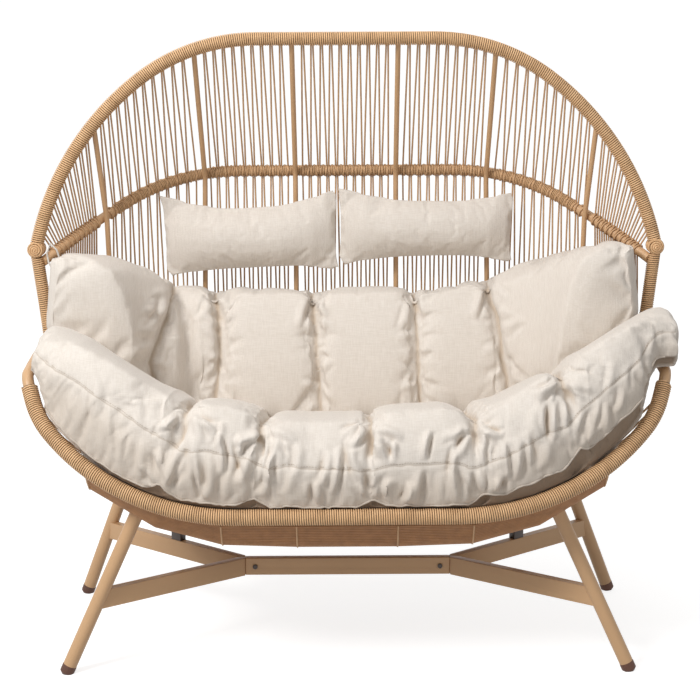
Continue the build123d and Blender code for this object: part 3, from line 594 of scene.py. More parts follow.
wound_rope = rope_finish("wound_rope", rope_light, rope_dark)
ring_rope = rope_finish("ring_rope", ring_light, ring_dark)
laced_rope = rope_finish("laced_rope", run_light, run_dark)
web_rope = rope_finish("web_rope", web_light, web_dark)
# Cores under the windings are drawn all in the painted shade colour, standing in for the shade between the
# turns.
shade_core_rope = rope_finish("shade_core_rope", rope_gap_shade, rope_gap_shade)

# Windings: one rope laid turn against turn over each tube, from end to end. The mid ring's rope is
# thinner, and stops short of its ends, which show the coated tube.
winding_pitch = 0.0048
winding_fullness = 0.44
turn_points = 9
rope_sides = 8
tube_sides = 20


def tubes(name, routes, radius, sides, material):
    """Round tubes along routes, as one piece."""
    values = {"Radius": radius, "Sides": sides, "Material": material}
    return grow(path_mesh(name, routes), tube_along, values)


def turns_round(name, route, pitch, winding_radius, rope_radius, material):
    """One rope wound round a route."""
    values = {
        "Pitch": pitch,
        "Step": pitch / turn_points,
        "Winding Radius": winding_radius,
        "Rope Radius": rope_radius,
        "Sides": rope_sides,
        "Material": material,
    }
    return grow(path_mesh(name, [route]), rope_wound_round, values)


def wind(name, route, outer_radius, node):
    """A tube along a route with rope wound round it; the tube is drawn in painted shade, dark where it
    shows between the turns.
    """
    thick = winding_pitch * winding_fullness
    core = tubes(name + "_core", [route], outer_radius - thick * 1.5, tube_sides, shade_core_rope)
    turns = turns_round(name + "_turns", route, winding_pitch, outer_radius - thick, thick, wound_rope)
    piece = joined(name, [core, turns])
    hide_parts(node)
    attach(piece, "root")
    return piece


def bare(name, routes, radius, node):
    """Smooth coated tubes along routes."""
    piece = tubes(name, routes, radius, tube_sides, sand_coat)
    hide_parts(node)
    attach(piece, "root")
    return piece


arch_radius = 0.016
ring_radius = 0.011
rim_radius = 0.018
rail_radius = 0.013
elbow_tube_radius = 0.0125
ring_wound_reach = 0.54
ring_rope_radius = 0.0018
ring_rope_pitch = ring_rope_radius * 2.2
wind("back_hoop_winding", both_sides(arch), arch_radius, "back_hoop")
wind("front_rim_winding", both_sides(rim), rim_radius, "front_rim")
bare("mid_ring_tube", [both_sides(ring)], ring_radius, "mid_ring")
wound_part = [place for place in both_sides(ring) if abs(place.x) < ring_wound_reach]
over_ring = ring_radius + ring_rope_radius / 2
ring_turns = turns_round(
    "mid_ring_turns", wound_part, ring_rope_pitch, over_ring, ring_rope_radius, ring_rope
)
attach(ring_turns, "root")
bare("rear_rail_tube", [both_sides(rail)], rail_radius, "rear_rail")
elbow_route = rounded([rim[-1], elbow_corner, elbow_end], [elbow_radius])
bare("arm_elbow_tubes", [elbow_route, mirrored(elbow_route)], elbow_tube_radius, "arm_elbows")

# Knuckles: the hoop's feet meet the side tubes in a short drum, wound over its round front in one
# flat coil and then along its side. The side tubes below are wound straight down to the rail.
knuckle_radius = 0.019
knuckle_length = 0.046
knuckle_dome = 0.009
knuckle_inset = 0.001
side_tube_radius = 0.015
spiral_turn_points = 20


def knuckle_coil(centre):
    """One rope that coils over the drum's domed front and on along its side."""
    rope_radius = winding_pitch / 2
    reach = knuckle_radius - rope_radius
    front = centre.y - knuckle_length / 2 + rope_radius
    flat_turns = reach / winding_pitch
    side_turns = (knuckle_length - knuckle_dome) / winding_pitch
    route = []
    for step in range(int((flat_turns + side_turns) * spiral_turn_points)):
        turn = step / spiral_turn_points
        angle = 2 * math.pi * turn
        if turn < flat_turns:
            out = reach * turn / flat_turns
            y = front + knuckle_dome * (1 - math.sqrt(1 - (out / reach) ** 2))
        else:
            out = reach
            y = front + knuckle_dome + (turn - flat_turns) * winding_pitch
        route.append(centre + Vector((out * math.cos(angle), y - centre.y, out * math.sin(angle))))
    return route


knuckle_centre = Vector((arch[-1].x, knuckle_middle[0], knuckle_middle[1]))
rail_share = (knuckle_centre.y - elbow_end.y) / rail_rise.y
side_foot = elbow_end + rail_rise * rail_share
for side, flip in (("right", 1), ("left", -1)):
    centre = Vector((flip * knuckle_centre.x, knuckle_centre.y, knuckle_centre.z))
    foot = Vector((flip * side_foot.x, side_foot.y, side_foot.z + rail_radius * 0.7))
    coil = tubes("knuckle_coil_" + side, [knuckle_coil(centre)], winding_pitch / 2, 8, wound_rope)
    half = knuckle_length / 2
    ends = [centre + Vector((0, along, 0)) for along in (knuckle_dome - half, half - knuckle_inset)]
    core_radius = knuckle_radius - winding_pitch * 0.8
    # The drum's core is drawn in the painted shade colour, dark where it shows between the turns.
    core = tubes("knuckle_core_" + side, [ends], core_radius, 24, shade_core_rope)
    drum = joined("knuckle_rope_" + side, [coil, core])
    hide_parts("knuckle_" + side)
    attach(drum, "root")
    inside = centre + (foot - centre).normalized() * knuckle_radius * 0.9
    wind("side_tube_winding_" + side, [inside, foot], side_tube_radius, "side_tube_" + side)

# Ribs and cradle tubes: thin coated steel bars, three ribs each side. Each is welded to the back
# hoop, bends past the mid ring and the rear rail, runs under the cradle tubes and ends at the rim.
rib_radius = 0.006
rib_seat_gap = 0.0006
rib_back_x = (0.12, 0.34, 0.568)
rib_front_x = (0.105, 0.262, 0.545)
rib_bends = (0.06, 0.16, 0.03, 0.04)
cradle_radius = 0.011
cradle_z = 0.322
cradle_y = (-0.2424, 0.2396)
cradle_reach = 0.55
floor_flat_half = 0.18
floor_side_radius = 0.63
floor_front_setback = 0.05
floor_back_overhang = 0.026


def on_hoop(half, x):
    """The place and direction of a half hoop at a distance from the middle."""
    for one, two in zip(half, half[1:]):
        if two.x >= x or two is half[-1]:
            share = (x - one.x) / (two.x - one.x)
            return one.lerp(two, share), (two - one).normalized()


def beside(half, x, before, distance):
    """A place inside a hoop, square to the hoop and to a bar that crosses it."""
    point, along = on_hoop(half, x)
    inward = along.cross(point - before).normalized()
    if inward.dot(Vector((0, 0, point.z)) - point) < 0:
        inward = -inward
    return point + inward * distance


def bend_corner(before, point, after, radius):
    """The corner whose rounded bend runs through a point."""
    one = (before - point).normalized()
    two = (after - point).normalized()
    half = one.angle(two) / 2
    return point - (one + two).normalized() * (radius / math.sin(half) - radius)


def floor_height(x, drop):
    """Height of the bowl's floor a distance below the cradle tubes' centre lines."""
    past = max(0.0, abs(x) - floor_flat_half)
    return cradle_z + floor_side_radius - math.sqrt((floor_side_radius + drop) ** 2 - past**2)


def rib_route(number):
    """One right rib's centre line, from the back hoop to the front rim."""
    x_back = rib_back_x[number]
    x_front = rib_front_x[number]
    top, _ = on_hoop(arch, x_back)
    at_ring = beside(ring, x_back, top, ring_radius + rib_radius + rib_seat_gap)
    at_rail = beside(rail, x_back, at_ring, rail_radius + rib_radius + rib_seat_gap)
    rim_point, _ = on_hoop(rim, x_front)
    z = floor_height(x_front, cradle_radius + rib_radius)
    back = Vector((x_front, cradle_y[1] + floor_back_overhang, z))
    front = Vector((x_front, rim_point.y + floor_front_setback, z))
    at_ring = bend_corner(top, at_ring, at_rail, rib_bends[0])
    at_rail = bend_corner(at_ring, at_rail, back, rib_bends[1])
    return rounded([top, at_ring, at_rail, back, front, rim_point], rib_bends)


rib_routes = [rib_route(number) for number in range(3)]
for number, route in enumerate(rib_routes):
    bare(f"rib_{number + 1}_bar_right", [route], rib_radius, f"rib_{number + 1}_right")
    bare(f"rib_{number + 1}_bar_left", [mirrored(route)], rib_radius, f"rib_{number + 1}_left")


def cradle_route(y):
    """A cradle tube's centre line across the seat."""
    turn = math.degrees(math.asin((cradle_reach - floor_flat_half) / floor_side_radius))
    places, _ = walk(floor_flat_half, ((floor_side_radius, turn),), 1)
    return both_sides([Vector((x, y, cradle_z + z)) for x, z in places])


bare("front_cradle_bar", [cradle_route(cradle_y[0])], cradle_radius, "front_cradle_tube")
bare("rear_cradle_bar", [cradle_route(cradle_y[1])], cradle_radius, "rear_cradle_tube")

# Laced rope: single runs pulled tight between the tubes. Each comes out of a winding, crosses to
# the next tube and goes once round it, so that every run ends in a band of rope on that tube.
run_radius = 0.0021
run_sides = 8
run_tuck = 0.004
band_turns = 1.0
band_slant = 0.010
vee_reach = (0.40, 0.60)
vee_touch = 2.1
band_points = 14
meeting_gap = 0.00001
section_corners = 4


def runs_of(node):
    """The centre lines of a lacing node's separate runs, each from its top down."""
    work = bmesh.new()
    work.from_mesh(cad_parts[node].data)
    bmesh.ops.remove_doubles(work, verts=work.verts, dist=meeting_gap)
    left = set(work.verts)
    runs = []
    while left:
        island = {left.pop()}
        edge_of = list(island)
        while edge_of:
            corner = edge_of.pop()
            for edge in corner.link_edges:
                other = edge.other_vert(corner)
                if other in left:
                    left.discard(other)
                    island.add(other)
                    edge_of.append(other)
        places = sorted((corner.co.copy() for corner in island), key=lambda place: -place.z)
        starts = range(0, len(places), section_corners)
        groups = [places[start : start + section_corners] for start in starts]
        runs.append([sum(group, Vector()) / len(group) for group in groups])
    work.free()
    runs.sort(key=lambda run: (round(run[0].x, 5), round(run[-1].x, 5)))
    return runs


def tucked(run):
    """A run made a little longer at both ends, so that it goes into the windings."""
    start = run[0] + (run[0] - run[1]).normalized() * run_tuck
    end = run[-1] + (run[-1] - run[-2]).normalized() * run_tuck
    return [start] + run[1:-1] + [end]


def nearest_on(route, place):
    """The place on a route nearest to another, and the route's direction there."""
    best = None
    for one, two in zip(route, route[1:]):
        along = two - one
        share = max(0.0, min(1.0, (place - one).dot(along) / along.length_squared))
        point = one + along * share
        gap = (place - point).length
        if best is None or gap < best[0]:
            best = (gap, point, along.normalized())
    return best[1], best[2]


def drawn_together(runs, place, first):
    """Draws one end of each two neighbouring runs together until they nearly touch."""
    for one, two in zip(runs[first::2], runs[first + 1 :: 2]):
        middle = (one[place] + two[place]) / 2
        past = (abs(middle.x) - vee_reach[0]) / (vee_reach[1] - vee_reach[0])
        near = vee_touch * run_radius / (two[place] - one[place]).length
        share = max(0.0, 1 - near) * (1 - max(0.0, min(1.0, past)))
        one[place] += (middle - one[place]) * share
        two[place] += (middle - two[place]) * share


def band(route, place, radius, way=1):
    """A slanting turn of rope round a tube where a run meets it."""
    point, along = nearest_on(route, place)
    out = place - point
    out = (out - along * out.dot(along)).normalized()
    side = along.cross(out)
    turns = []
    for step in range(band_points + 1):
        share = step / band_points
        angle = 2 * math.pi * band_turns * share
        shift = along * (share * way * band_slant)
        turns.append(point + shift + (out * math.cos(angle) + side * math.sin(angle)) * radius)
    return turns


def lace(node, bands, shape=None):
    """All the runs of a lacing node as round rope, with their bands."""
    runs = runs_of(node)
    if shape:
        shape(runs)
    routes = [tucked(run) for run in runs] + bands(runs)
    piece = tubes(node + "_rope", routes, run_radius, run_sides, laced_rope)
    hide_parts(node)
    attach(piece, "root")
    return piece


whole_ring = both_sides(ring)
whole_rail = both_sides(rail)


def ring_bands(runs):
    """Bands round the mid ring, at the foot of each run from the back hoop."""
    bands = []
    for number, run in enumerate(runs):
        over = ring_rope_radius if abs(run[-1].x) < ring_wound_reach else run_radius
        way = -1 if number % 2 else 1
        bands.append(band(whole_ring, run[-1], ring_radius + over, way))
    return bands


def rail_bands(runs):
    """Bands round the rear rail, where each run of the basket passes it."""
    return [band(whole_rail, run[1], rail_radius + run_radius) for run in runs]


def rib_bands(runs, rib):
    """Bands round an outer rib, at the foot of each run beside the seat."""
    return [band(rib, run[-1], rib_radius + run_radius) for run in runs]


def vees(runs):
    """Runs zigzag between the back hoop and the mid ring, and meet in twos at both."""
    drawn_together(runs, 0, 0)
    drawn_together(runs, -1, 1)


def tents(runs):
    """Runs of the basket start in twos at the mid ring and part further down."""
    drawn_together(runs, 0, 1)


for bay in ("middle", "left_1", "left_2", "left_3", "right_1", "right_2", "right_3"):
    lace("back_cord_" + bay, ring_bands, vees)
for bay in ("middle", "left_1", "left_2", "right_1", "right_2"):
    lace("basket_cord_" + bay, rail_bands, tents)
for side, rib in (("left", mirrored(rib_routes[2])), ("right", rib_routes[2])):
    lace("basket_cord_" + side + "_3", lambda runs: rail_bands(runs) + rib_bands(runs, rib))
    lace("arm_cord_" + side, lambda runs: rib_bands(runs, rib))

# Seat web: one layer of rope laid close across the seat under the ribs, from behind the rear
# cradle tube to the front rim, with one rope along its outside under each rib.
web_rope_radius = 0.0026
web_pitch = 0.0056
web_fullness = 0.46
web_sides = 6
web_pitch = 0.0056
web_clearance = 0.0006
web_rear_margin = 0.014
web_band_radius = 0.0018
web_span_step = 0.02
web_folds = (0.105, 0.262, 0.4035, 0.545)
web_drop = rib_radius + web_clearance + web_rope_radius


def web_profile(x, below):
    """The web's line at a fold, a distance below the ribs, from its rear edge up to the rim."""
    point, along = on_hoop(rim, x)
    start = Vector((x, cradle_y[1] + floor_back_overhang + web_rear_margin, 0))
    start.z = floor_height(x, cradle_radius + rib_radius)
    corner = Vector((x, point.y + floor_front_setback, start.z))
    rise = (point - corner).normalized()
    end = point - rise * (rim_radius * 0.9)
    route = rounded([start, corner, end], [rib_bends[3]])
    lowered = []
    for before, here, after in zip([route[0]] + route, route, route[1:] + [route[-1]]):
        heading = (after - before).normalized()
        lowered.append(here + Vector((0, -heading.z, heading.y)) * below)
    return lowered


def along_line(line, distance):
    """The place a distance along a line."""
    for one, two in zip(line, line[1:]):
        step = (two - one).length
        if distance <= step:
            return one.lerp(two, distance / step)
        distance -= step
    return line[-1]


def line_length(line):
    """The length of a line."""
    return sum((two - one).length for one, two in zip(line, line[1:]))


def web_ropes():
    """Every rope of the web, laid across the folds."""
    right = [web_profile(x, web_drop) for x in web_folds]
    count = int(max(line_length(line) for line in right) / web_pitch)
    ropes = []
    for number in range(count):
        share = (number + 1 / 2) / count
        half = [along_line(line, line_length(line) * share) for line in right]
        places = mirrored(list(reversed(half))) + half
        rope = []
        for one, two in zip(places, places[1:]):
            steps = max(2, int((two - one).length / web_span_step))
            rope += [one.lerp(two, step / steps) for step in range(steps)]
        ropes.append(rope + [places[-1]])
    return ropes


def web_bands():
    """A rope along the web's outside under each rib, seen from in front as a raised line."""
    lines = [web_profile(x, web_drop + web_rope_radius) for x in rib_front_x]
    return lines + [mirrored(line) for line in lines]


web_rows = tubes("seat_web_rows", web_ropes(), web_pitch * web_fullness, web_sides, web_rope)
web_over = tubes("seat_web_bands", web_bands(), web_band_radius, web_sides, laced_rope)
web = joined("seat_web_rope", [web_rows, web_over])
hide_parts("seat_web")
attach(web, "root")

# Cushions: covers of off-white linen weave over loose fibre fill. Each cover is blown up by a
# short cloth simulation with its channels held in, and its seams and gathers are worked in after.
linen_light = (0.745, 0.69, 0.63, 1)
linen_shade = (0.66, 0.60, 0.535, 1)
linen_fold_shade = (0.55, 0.45, 0.35, 1)
# Painted shade on the seat roll's under panel.
linen_under_shade = (0.33, 0.25, 0.185, 1)
# The painted shade along the seams, and the darker tone of the stitch thread.
seam_shade_and_thread = (0.42, 0.34, 0.26, 1)
tie_white = (0.86, 0.85, 0.83, 1)
tie_shade = (0.74, 0.73, 0.71, 1)
linen_roughness = 0.85
linen_relief = (0.5, 0.0006)
linen_gloss = {"Sheen Weight": 0.15, "Sheen Roughness": 0.5, "Specular IOR Level": 0.2}
thread_fine = 620.0
thread_long = 0.07
cover_voxel = 0.007
cover_ease = 6
sim_frames = 20
fill_pressure = 4.0
cloth_shrink = (-0.10, 0.06)
cloth_bending = 0.4
seam_line_half = 0.0011
seam_line_share = 0.5
fold_shade_span = (0.002, 0.012)
fold_hollow_share = 0.8
creases = ((0.004, 0.012), (0.006, 0.004))


def weave_group():
    """Linen weave: slubby threads both ways, as a colour mask and a height."""
    group, fineness, leave, place = mask_group("linen_weave", "Fineness")
    threads = []
    for scale in ((thread_long, 1, 1), (1, thread_long, thread_long)):
        drawn = put(group, "ShaderNodeMapping", {"Vector": place, "Scale": scale})
        threads.append(cloud(group, drawn.outputs[0], fineness, 1.0))
    span = {"Value": maths(group, "ADD", *threads), "From Min": 0.75, "From Max": 1.25}
    spread = put(group, "ShaderNodeMapRange", span).outputs[0]
    mask = put(group, "ShaderNodeMix", {0: 0.25, 2: spread, 3: cloud(group, place, 14.0, 3.0)})
    group.links.new(mask.outputs[0], leave["Mask"])
    group.links.new(spread, leave["Height"])
    return group


linen_weave = weave_group()


def linen_finish(name, light, shade):
    """Woven linen with a soft sheen, with painted shade along the seams, in the hollows and on the under
    panel of its cover.
    """
    finish, tree, surface = new_finish(name, linen_roughness)
    mask, height = group_in(tree, linen_weave, "Fineness", thread_fine)
    near = maths(tree, "ABSOLUTE", kept_value(tree, "seam"))
    # Painted shade: a thin dark line along each seam, where the seam's crease lies.
    span = {"Value": near, "From Max": seam_line_half * 2, "To Min": seam_line_share, "To Max": 0.0}
    line = put(tree, "ShaderNodeMapRange", span).outputs[0]
    tone = blend(tree, mask, shade, light)
    # Painted shade in the folds and channels, and below the roll's seam.
    tone = blend(tree, kept_value(tree, "hollow"), tone, linen_fold_shade)
    # Painted shade on the under panel below the roll.
    tone = blend(tree, kept_value(tree, "under"), tone, linen_under_shade)
    dress(tree, surface, blend(tree, line, tone, seam_shade_and_thread), height, *linen_relief)
    for label, value in linen_gloss.items():
        surface.inputs[label].default_value = value
    return finish


cushion_linen = linen_finish("cushion_linen", linen_light, linen_shade)


def rows_of(piece, kind="co"):
    """Every vertex place of a piece, or its normals, as rows."""
    rows = np.empty(len(piece.data.vertices) * 3)
    piece.data.vertices.foreach_get(kind, rows)
    return rows.reshape(-1, 3)


def put_places(piece, rows):
    """Gives a piece's vertices new places."""
    piece.data.vertices.foreach_set("co", rows.ravel())
    piece.data.update()


def keep_values(piece, **values):
    """Stores numbers for each vertex of a piece, under their names."""
    for name, rows in values.items():
        layer = piece.data.attributes.new(name, "FLOAT", "POINT")
        layer.data.foreach_set("value", rows.astype(np.float32))


def cover(node, voxel):
    """A cushion's solid as a fine even mesh with its edges rounded off."""
    piece = merged_copy(node, node + "_cover")
    even = piece.modifiers.new("even", "REMESH")
    even.mode = "VOXEL"
    even.voxel_size = voxel
    ease = piece.modifiers.new("ease", "SMOOTH")
    ease.factor = 0.5
    ease.iterations = cover_ease
    return settle(piece)


def swell(piece, held, slack, cap):
    """Blows a cover up; held points stay, slack is spare cloth, and no point passes its cap."""
    start = rows_of(piece)
    pins = piece.vertex_groups.new(name="held")
    spare = piece.vertex_groups.new(name="drawn")
    for index, (pin, draw) in enumerate(zip(held, slack)):
        if pin > 0:
            pins.add([index], float(pin), "REPLACE")
        if draw > 0:
            spare.add([index], float(draw), "REPLACE")
    fill = piece.modifiers.new("fill", "CLOTH")
    fill.settings.quality = 5
    fill.settings.use_pressure = True
    fill.settings.uniform_pressure_force = fill_pressure
    fill.settings.effector_weights.gravity = 0
    fill.settings.vertex_group_mass = "held"
    fill.settings.vertex_group_shrink = "drawn"
    fill.settings.shrink_min, fill.settings.shrink_max = cloth_shrink
    fill.settings.bending_stiffness = cloth_bending
    for number in range(1, sim_frames + 1):
        bpy.context.scene.frame_set(number)
    settle(piece)
    bpy.context.scene.frame_set(1)
    moved = rows_of(piece) - start
    length = np.maximum(np.linalg.norm(moved, axis=1), 1e-9)
    put_places(piece, start + moved * (cap * np.tanh(length / cap) / length)[:, None])


def divided(piece):
    """One more round of subdivision, kept in the mesh."""
    finer = piece.modifiers.new("finer", "SUBSURF")
    finer.levels = 1
    finer.render_levels = 1
    return settle(piece)


def smooth_step(values, low, high):
    """0 below low, 1 above high, and a soft slope between."""
    share = np.clip((values - low) / (high - low), 0, 1)
    return share * share * (3 - 2 * share)


def bell(gap, half):
    """A rounded bump: 1 at no gap, and little left past twice the half width."""
    return np.exp(-((gap / half) ** 2))


def read_off(places, table):
    """What a table of places and values says at each place."""
    rows = np.asarray(table)
    return np.interp(places, rows[:, 0], rows[:, 1])


def hollows(shift):
    """How far each place lies in a fold or channel, from 0 to 1, which sets the painted shade there."""
    return smooth_step(-shift, *fold_shade_span)


def crease(gap):
    """How deep the cloth dips at a distance from a sewn channel: a soft dip with a sharp one in it."""
    (soft, soft_half), (sharp, sharp_half) = creases
    return soft * bell(gap, soft_half) + sharp * bell(gap, sharp_half)


def polyline_gap(spots, line):
    """How far each place is from a line through space."""
    best = np.full(len(spots), 9.0)
    for one, two in zip(line, line[1:]):
        run = two - one
        offset = spots - one
        share = np.clip(offset @ run / (run @ run), 0, 1)
        best = np.minimum(best, np.linalg.norm(offset - share[:, None] * run, axis=1))
    return best


def surface_tree(piece):
    """A search tree over a piece's faces."""
    return BVHTree.FromPolygons(
        [vertex.co for vertex in piece.data.vertices],
        [tuple(face.vertices) for face in piece.data.polygons],
    )


def from_front(tree, x, z):
    """Where a piece is first met from in front, at a place across and up."""
    hit = tree.ray_cast(Vector((x, -1, z)), Vector((0, 1, 0)))[0]
    return None if hit is None else np.array(hit)


def fold(view, start, end, width, height, bow=0.0):
    """One fold of cloth on a flat view: a rounded ridge beside a hollow, tapering at both ends."""
    run = end - start
    length = np.linalg.norm(run)
    offset = view - start
    share = offset @ run / length**2
    across = (offset[:, 0] * run[1] - offset[:, 1] * run[0]) / length
    across = across - bow * length * np.clip(4 * share * (1 - share), 0, 1)
    taper = np.clip(1 - (2 * share - 1) ** 2, 0, 1)
    ridge = bell(across, width)
    hollow = bell(across - 1.5 * width, 0.6 * width)
    return height * taper * (ridge - fold_hollow_share * hollow)


def in_linen(piece):
    """A cover with its cloth on."""
    piece.data.materials.clear()
    piece.data.materials.append(cushion_linen)
    return piece


def finish_cushion(piece, node):
    """Stands a cushion for its solid."""
    piece.data.shade_smooth()
    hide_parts(node)
    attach(piece, "root")


# Seat cushion: one long cushion folded over the bowl, with a thick roll at the front. Cross
# channels pinch it into lobes, a seam runs along the middle of the roll, and piping ends it below.
solid_channels = (-0.381, -0.190, 0.051, 0.294, 0.496)
seat_channels = ((-0.385, -0.328), (-0.192, -0.172), (0.053, 0.048), (0.284, 0.262), (0.48, 0.446))
cover_draw = 0.006
channel_fill = 0.013
channel_fill_half = 0.03
channel_pinch = 0.009
channel_pinch_half = 0.027
channel_ease = 0.25
lobe_crown = 0.003
foot_drop = 0.010
foot_drop_height = 0.03
foot_drop_ends = (0.46, 0.60)
tip_span = (0.58, 0.69)
tip_tuck = 0.010
tip_height = 0.90
roll_back_y = -0.30
roll_front_y = -0.1
crest_trims = (
    (-0.66, -0.030), (-0.56, -0.014), (-0.36, -0.020), (-0.30, 0.0), (-0.20, 0.002),
    (-0.15, -0.016), (-0.08, -0.022), (0.0, -0.018), (0.05, 0.002), (0.20, 0.004),
    (0.26, -0.014), (0.33, -0.008), (0.41, 0.008), (0.46, 0.0),
)
seat_span = (-0.655, 0.700)
span_step = 0.008
look_span = (0.34, 0.84, 0.003)
seam_share = ((-0.65, 0.72), (-0.3, 0.60), (0.05, 0.50), (0.35, 0.52), (0.55, 0.62), (0.70, 0.72))
edge_share = (
    (-0.65, 0.07), (-0.20, 0.07), (0.0, 0.05), (0.25, 0.07),
    (0.35, 0.15), (0.50, 0.18), (0.57, 0.24), (0.70, 0.22),
)
edge_notch = 0.10
edge_notch_half = 0.04
seam_slack = 0.35
seam_slack_half = 0.009
seam_dip = 0.0018
seam_dip_half = 0.004
under_step = 0.009
sewn_spans = (0.12, 0.8)
sewn_half = 0.005
seat_swell = 0.011
gather_spacing = 0.019
gather_calm = ((-0.65, 0.15), (-0.46, 0.30), (-0.34, 1.0), (0.45, 1.0), (0.56, 0.45), (0.70, 0.25))
gather_bow = 0.12
gather_margin = 0.02
gather_start = (-0.4, 0.85)
gather_reach = (0.050, 0.105)
gather_foot_gap = 0.006
gather_least = 0.012
gather_lean = 0.30
gather_width = (0.006, 0.012)
gather_height = (0.005, 0.012)
gather_steps = (0.5, 1.3)
channel_pull = 0.25
channel_pull_half = 0.05
gather_sizes = (0.8, 1.2)
crest_gather_start = (0.010, -0.010)
crest_gather_width = 0.008
crest_gather_height = (0.005, 0.009)
crest_gathers = ((0.060, 0.018), (0.050, 0.038), (0.028, 0.060))
notch_gather = (0.030, 0.045)
notch_gather_start = (0.008, 0.004)
notch_gather_width = 0.010
notch_gather_height = (0.004, 0.008)
crease_wander = 0.003
crease_waves = (70, 90)
facing_up = (-0.5, -0.1)
facing_up_fine = (-0.35, 0.1)
facing_out = (0.0, 0.5)
facing_out_fine = (0.05, 0.45)
facing_foot = (-0.2, 0.3)
held_facing = -0.25
least_height = 0.01
under_reach = -0.05
under_edge = 0.001
under_step_span = 0.005
below_seam_shade_span = (-0.02, 0.06)
front_turn = 0.018
gather_seed = 7
piping_radius = 0.0024
below_seam_shade = 0.4
thread_radius = 0.0006
stitch_offset = 0.004
stitch_pitch = 0.006
stitch_gap_share = 0.3
tie_radius = 0.0035
seat_tie_end = (
    (-0.655, -0.09, 0.668), (-0.672, -0.115, 0.664), (-0.684, -0.12, 0.652), (-0.679, -0.12, 0.640),
)
seam_thread = linen_finish("seam_thread", linen_light, seam_shade_and_thread)
tie_tape = linen_finish("tie_tape", tie_white, tie_shade)


def stitch_row(line):
    """Short stitches along a line, one after another with a gap between."""
    row = []
    for number in range(int(line_length(line) / stitch_pitch)):
        start = stitch_pitch * (number + stitch_gap_share / 2)
        end = start + stitch_pitch * (1 - stitch_gap_share)
        row.append([along_line(line, start), along_line(line, end)])
    return row


def front_lines(piece):
    """Across the seat: the lowest and highest places of the roll's front face."""
    tree = surface_tree(piece)
    spans = []
    for x in np.arange(*seat_span, span_step):
        hits = [from_front(tree, x, z) for z in np.arange(*look_span)]
        hits = [hit for hit in hits if hit is not None and hit[1] < 0]
        nearest = min(hits, key=lambda hit: hit[1])
        lowest = min(hit[2] for hit in hits if hit[1] < nearest[1] + front_turn)
        spans.append((x, lowest, max(hit[2] for hit in hits)))
    return np.array(spans)


def seam_distance(view, line):
    """How far each point of a flat view is above a line."""
    best = np.full(len(view), 9.0)
    sign = np.zeros(len(view))
    for start, end in zip(line, line[1:]):
        run = end - start
        offset = view - start
        share = np.clip(offset @ run / (run @ run), 0, 1)
        gap = np.linalg.norm(offset - share[:, None] * run, axis=1)
        nearer = gap < best
        best[nearer] = gap[nearer]
        sign[nearer] = np.sign(run[0] * offset[nearer, 1] - run[1] * offset[nearer, 0])
    return best * sign


def seat_lines(piece):
    """The roll's seam, its lower edge, its foot and its crest, as lines on the front view."""
    x, low, high = front_lines(piece).T
    notch = np.zeros(len(x))
    for foot, _ in seat_channels:
        notch = np.maximum(notch, np.clip(1 - np.abs(x - foot) / edge_notch_half, 0, 1) ** 1.5)
    seam = low + (high - low) * read_off(x, seam_share)
    edge = low + (high - low) * (read_off(x, edge_share) + edge_notch * notch)
    return [np.column_stack((x, z)) for z in (seam, edge, low, high)]


def roll_share(spots, low, crest):
    """How high each place is on the roll, from 0 at its foot to 1 at its crest."""
    bottom = read_off(spots[:, 0], low)
    top = read_off(spots[:, 0], crest)
    return np.clip((spots[:, 2] - bottom) / np.maximum(top - bottom, least_height), 0, 1)


def front_share(spots, low, crest):
    """The same on the roll's front, and 1 behind it."""
    return np.where(spots[:, 1] > roll_back_y, 1.0, roll_share(spots, low, crest))


def channel_places(share):
    """Across the seat: where each channel lies at each place's height."""
    return [foot + (head - foot) * share for foot, head in seat_channels]


def channel_grip(share):
    """How hard a channel draws the cover in: most at the crest and the foot, least between."""
    return channel_ease + (1 - channel_ease) * np.abs(2 * share - 1) ** 1.5


def on_front(tree, line, lift):
    """A front-view line laid on a piece's surface, a little proud of it."""
    hits = [from_front(tree, x, z) for x, z in line]
    return [Vector(hit) + Vector((0, -lift, 0)) for hit in hits if hit is not None]


seat = cover("seat_cushion", cover_voxel)
spots = rows_of(seat)
facing = rows_of(seat, "normal")
seam, edge, low, crest = seat_lines(seat)
upper = smooth_step(facing[:, 2], *facing_up)
shift = -cover_draw * upper
for place in solid_channels:
    shift += channel_fill * np.clip(1 - np.abs(spots[:, 0] - place) / channel_fill_half, 0, 1) * upper
height = front_share(spots, low, crest)
grip = channel_grip(height)
channels = channel_places(height)
for places in channels:
    shift -= channel_pinch * bell(np.abs(spots[:, 0] - places), channel_pinch_half) * upper * grip
shift += lobe_crown * upper
spots = spots + facing * shift[:, None]
lowest = read_off(spots[:, 0], low)
share = roll_share(spots, low, crest)
spots[:, 2] += read_off(spots[:, 0], crest_trims) * share * upper
over_rim = np.clip(1 - (spots[:, 2] - lowest) / foot_drop_height, 0, 1) * (spots[:, 1] < roll_front_y)
tucked_in = smooth_step(spots[:, 0], *tip_span) * np.clip(1 - share / tip_height, 0, 1)
spots[:, 0] -= tip_tuck * tucked_in
over_rim *= smooth_step(-np.abs(spots[:, 0]), -foot_drop_ends[1], -foot_drop_ends[0])
spots[:, 2] -= foot_drop * over_rim * smooth_step(-facing[:, 1], *facing_foot)
put_places(seat, spots)
front = smooth_step(-facing[:, 1], *facing_out)
on_seam = bell(seam_distance(spots[:, [0, 2]], seam), seam_slack_half) * front
held = (facing[:, 2] < held_facing).astype(float)
sewn = (height > sewn_spans[1]) | (height < sewn_spans[0])
for places in channels:
    held = np.maximum(held, ((np.abs(spots[:, 0] - places) < sewn_half) & sewn).astype(float))
swell(seat, held, np.clip(seam_slack * on_seam, 0, 1), seat_swell)
divided(seat)
spots = rows_of(seat)
facing = rows_of(seat, "normal")
view = spots[:, [0, 2]]
seam, edge, low, crest = seat_lines(seat)
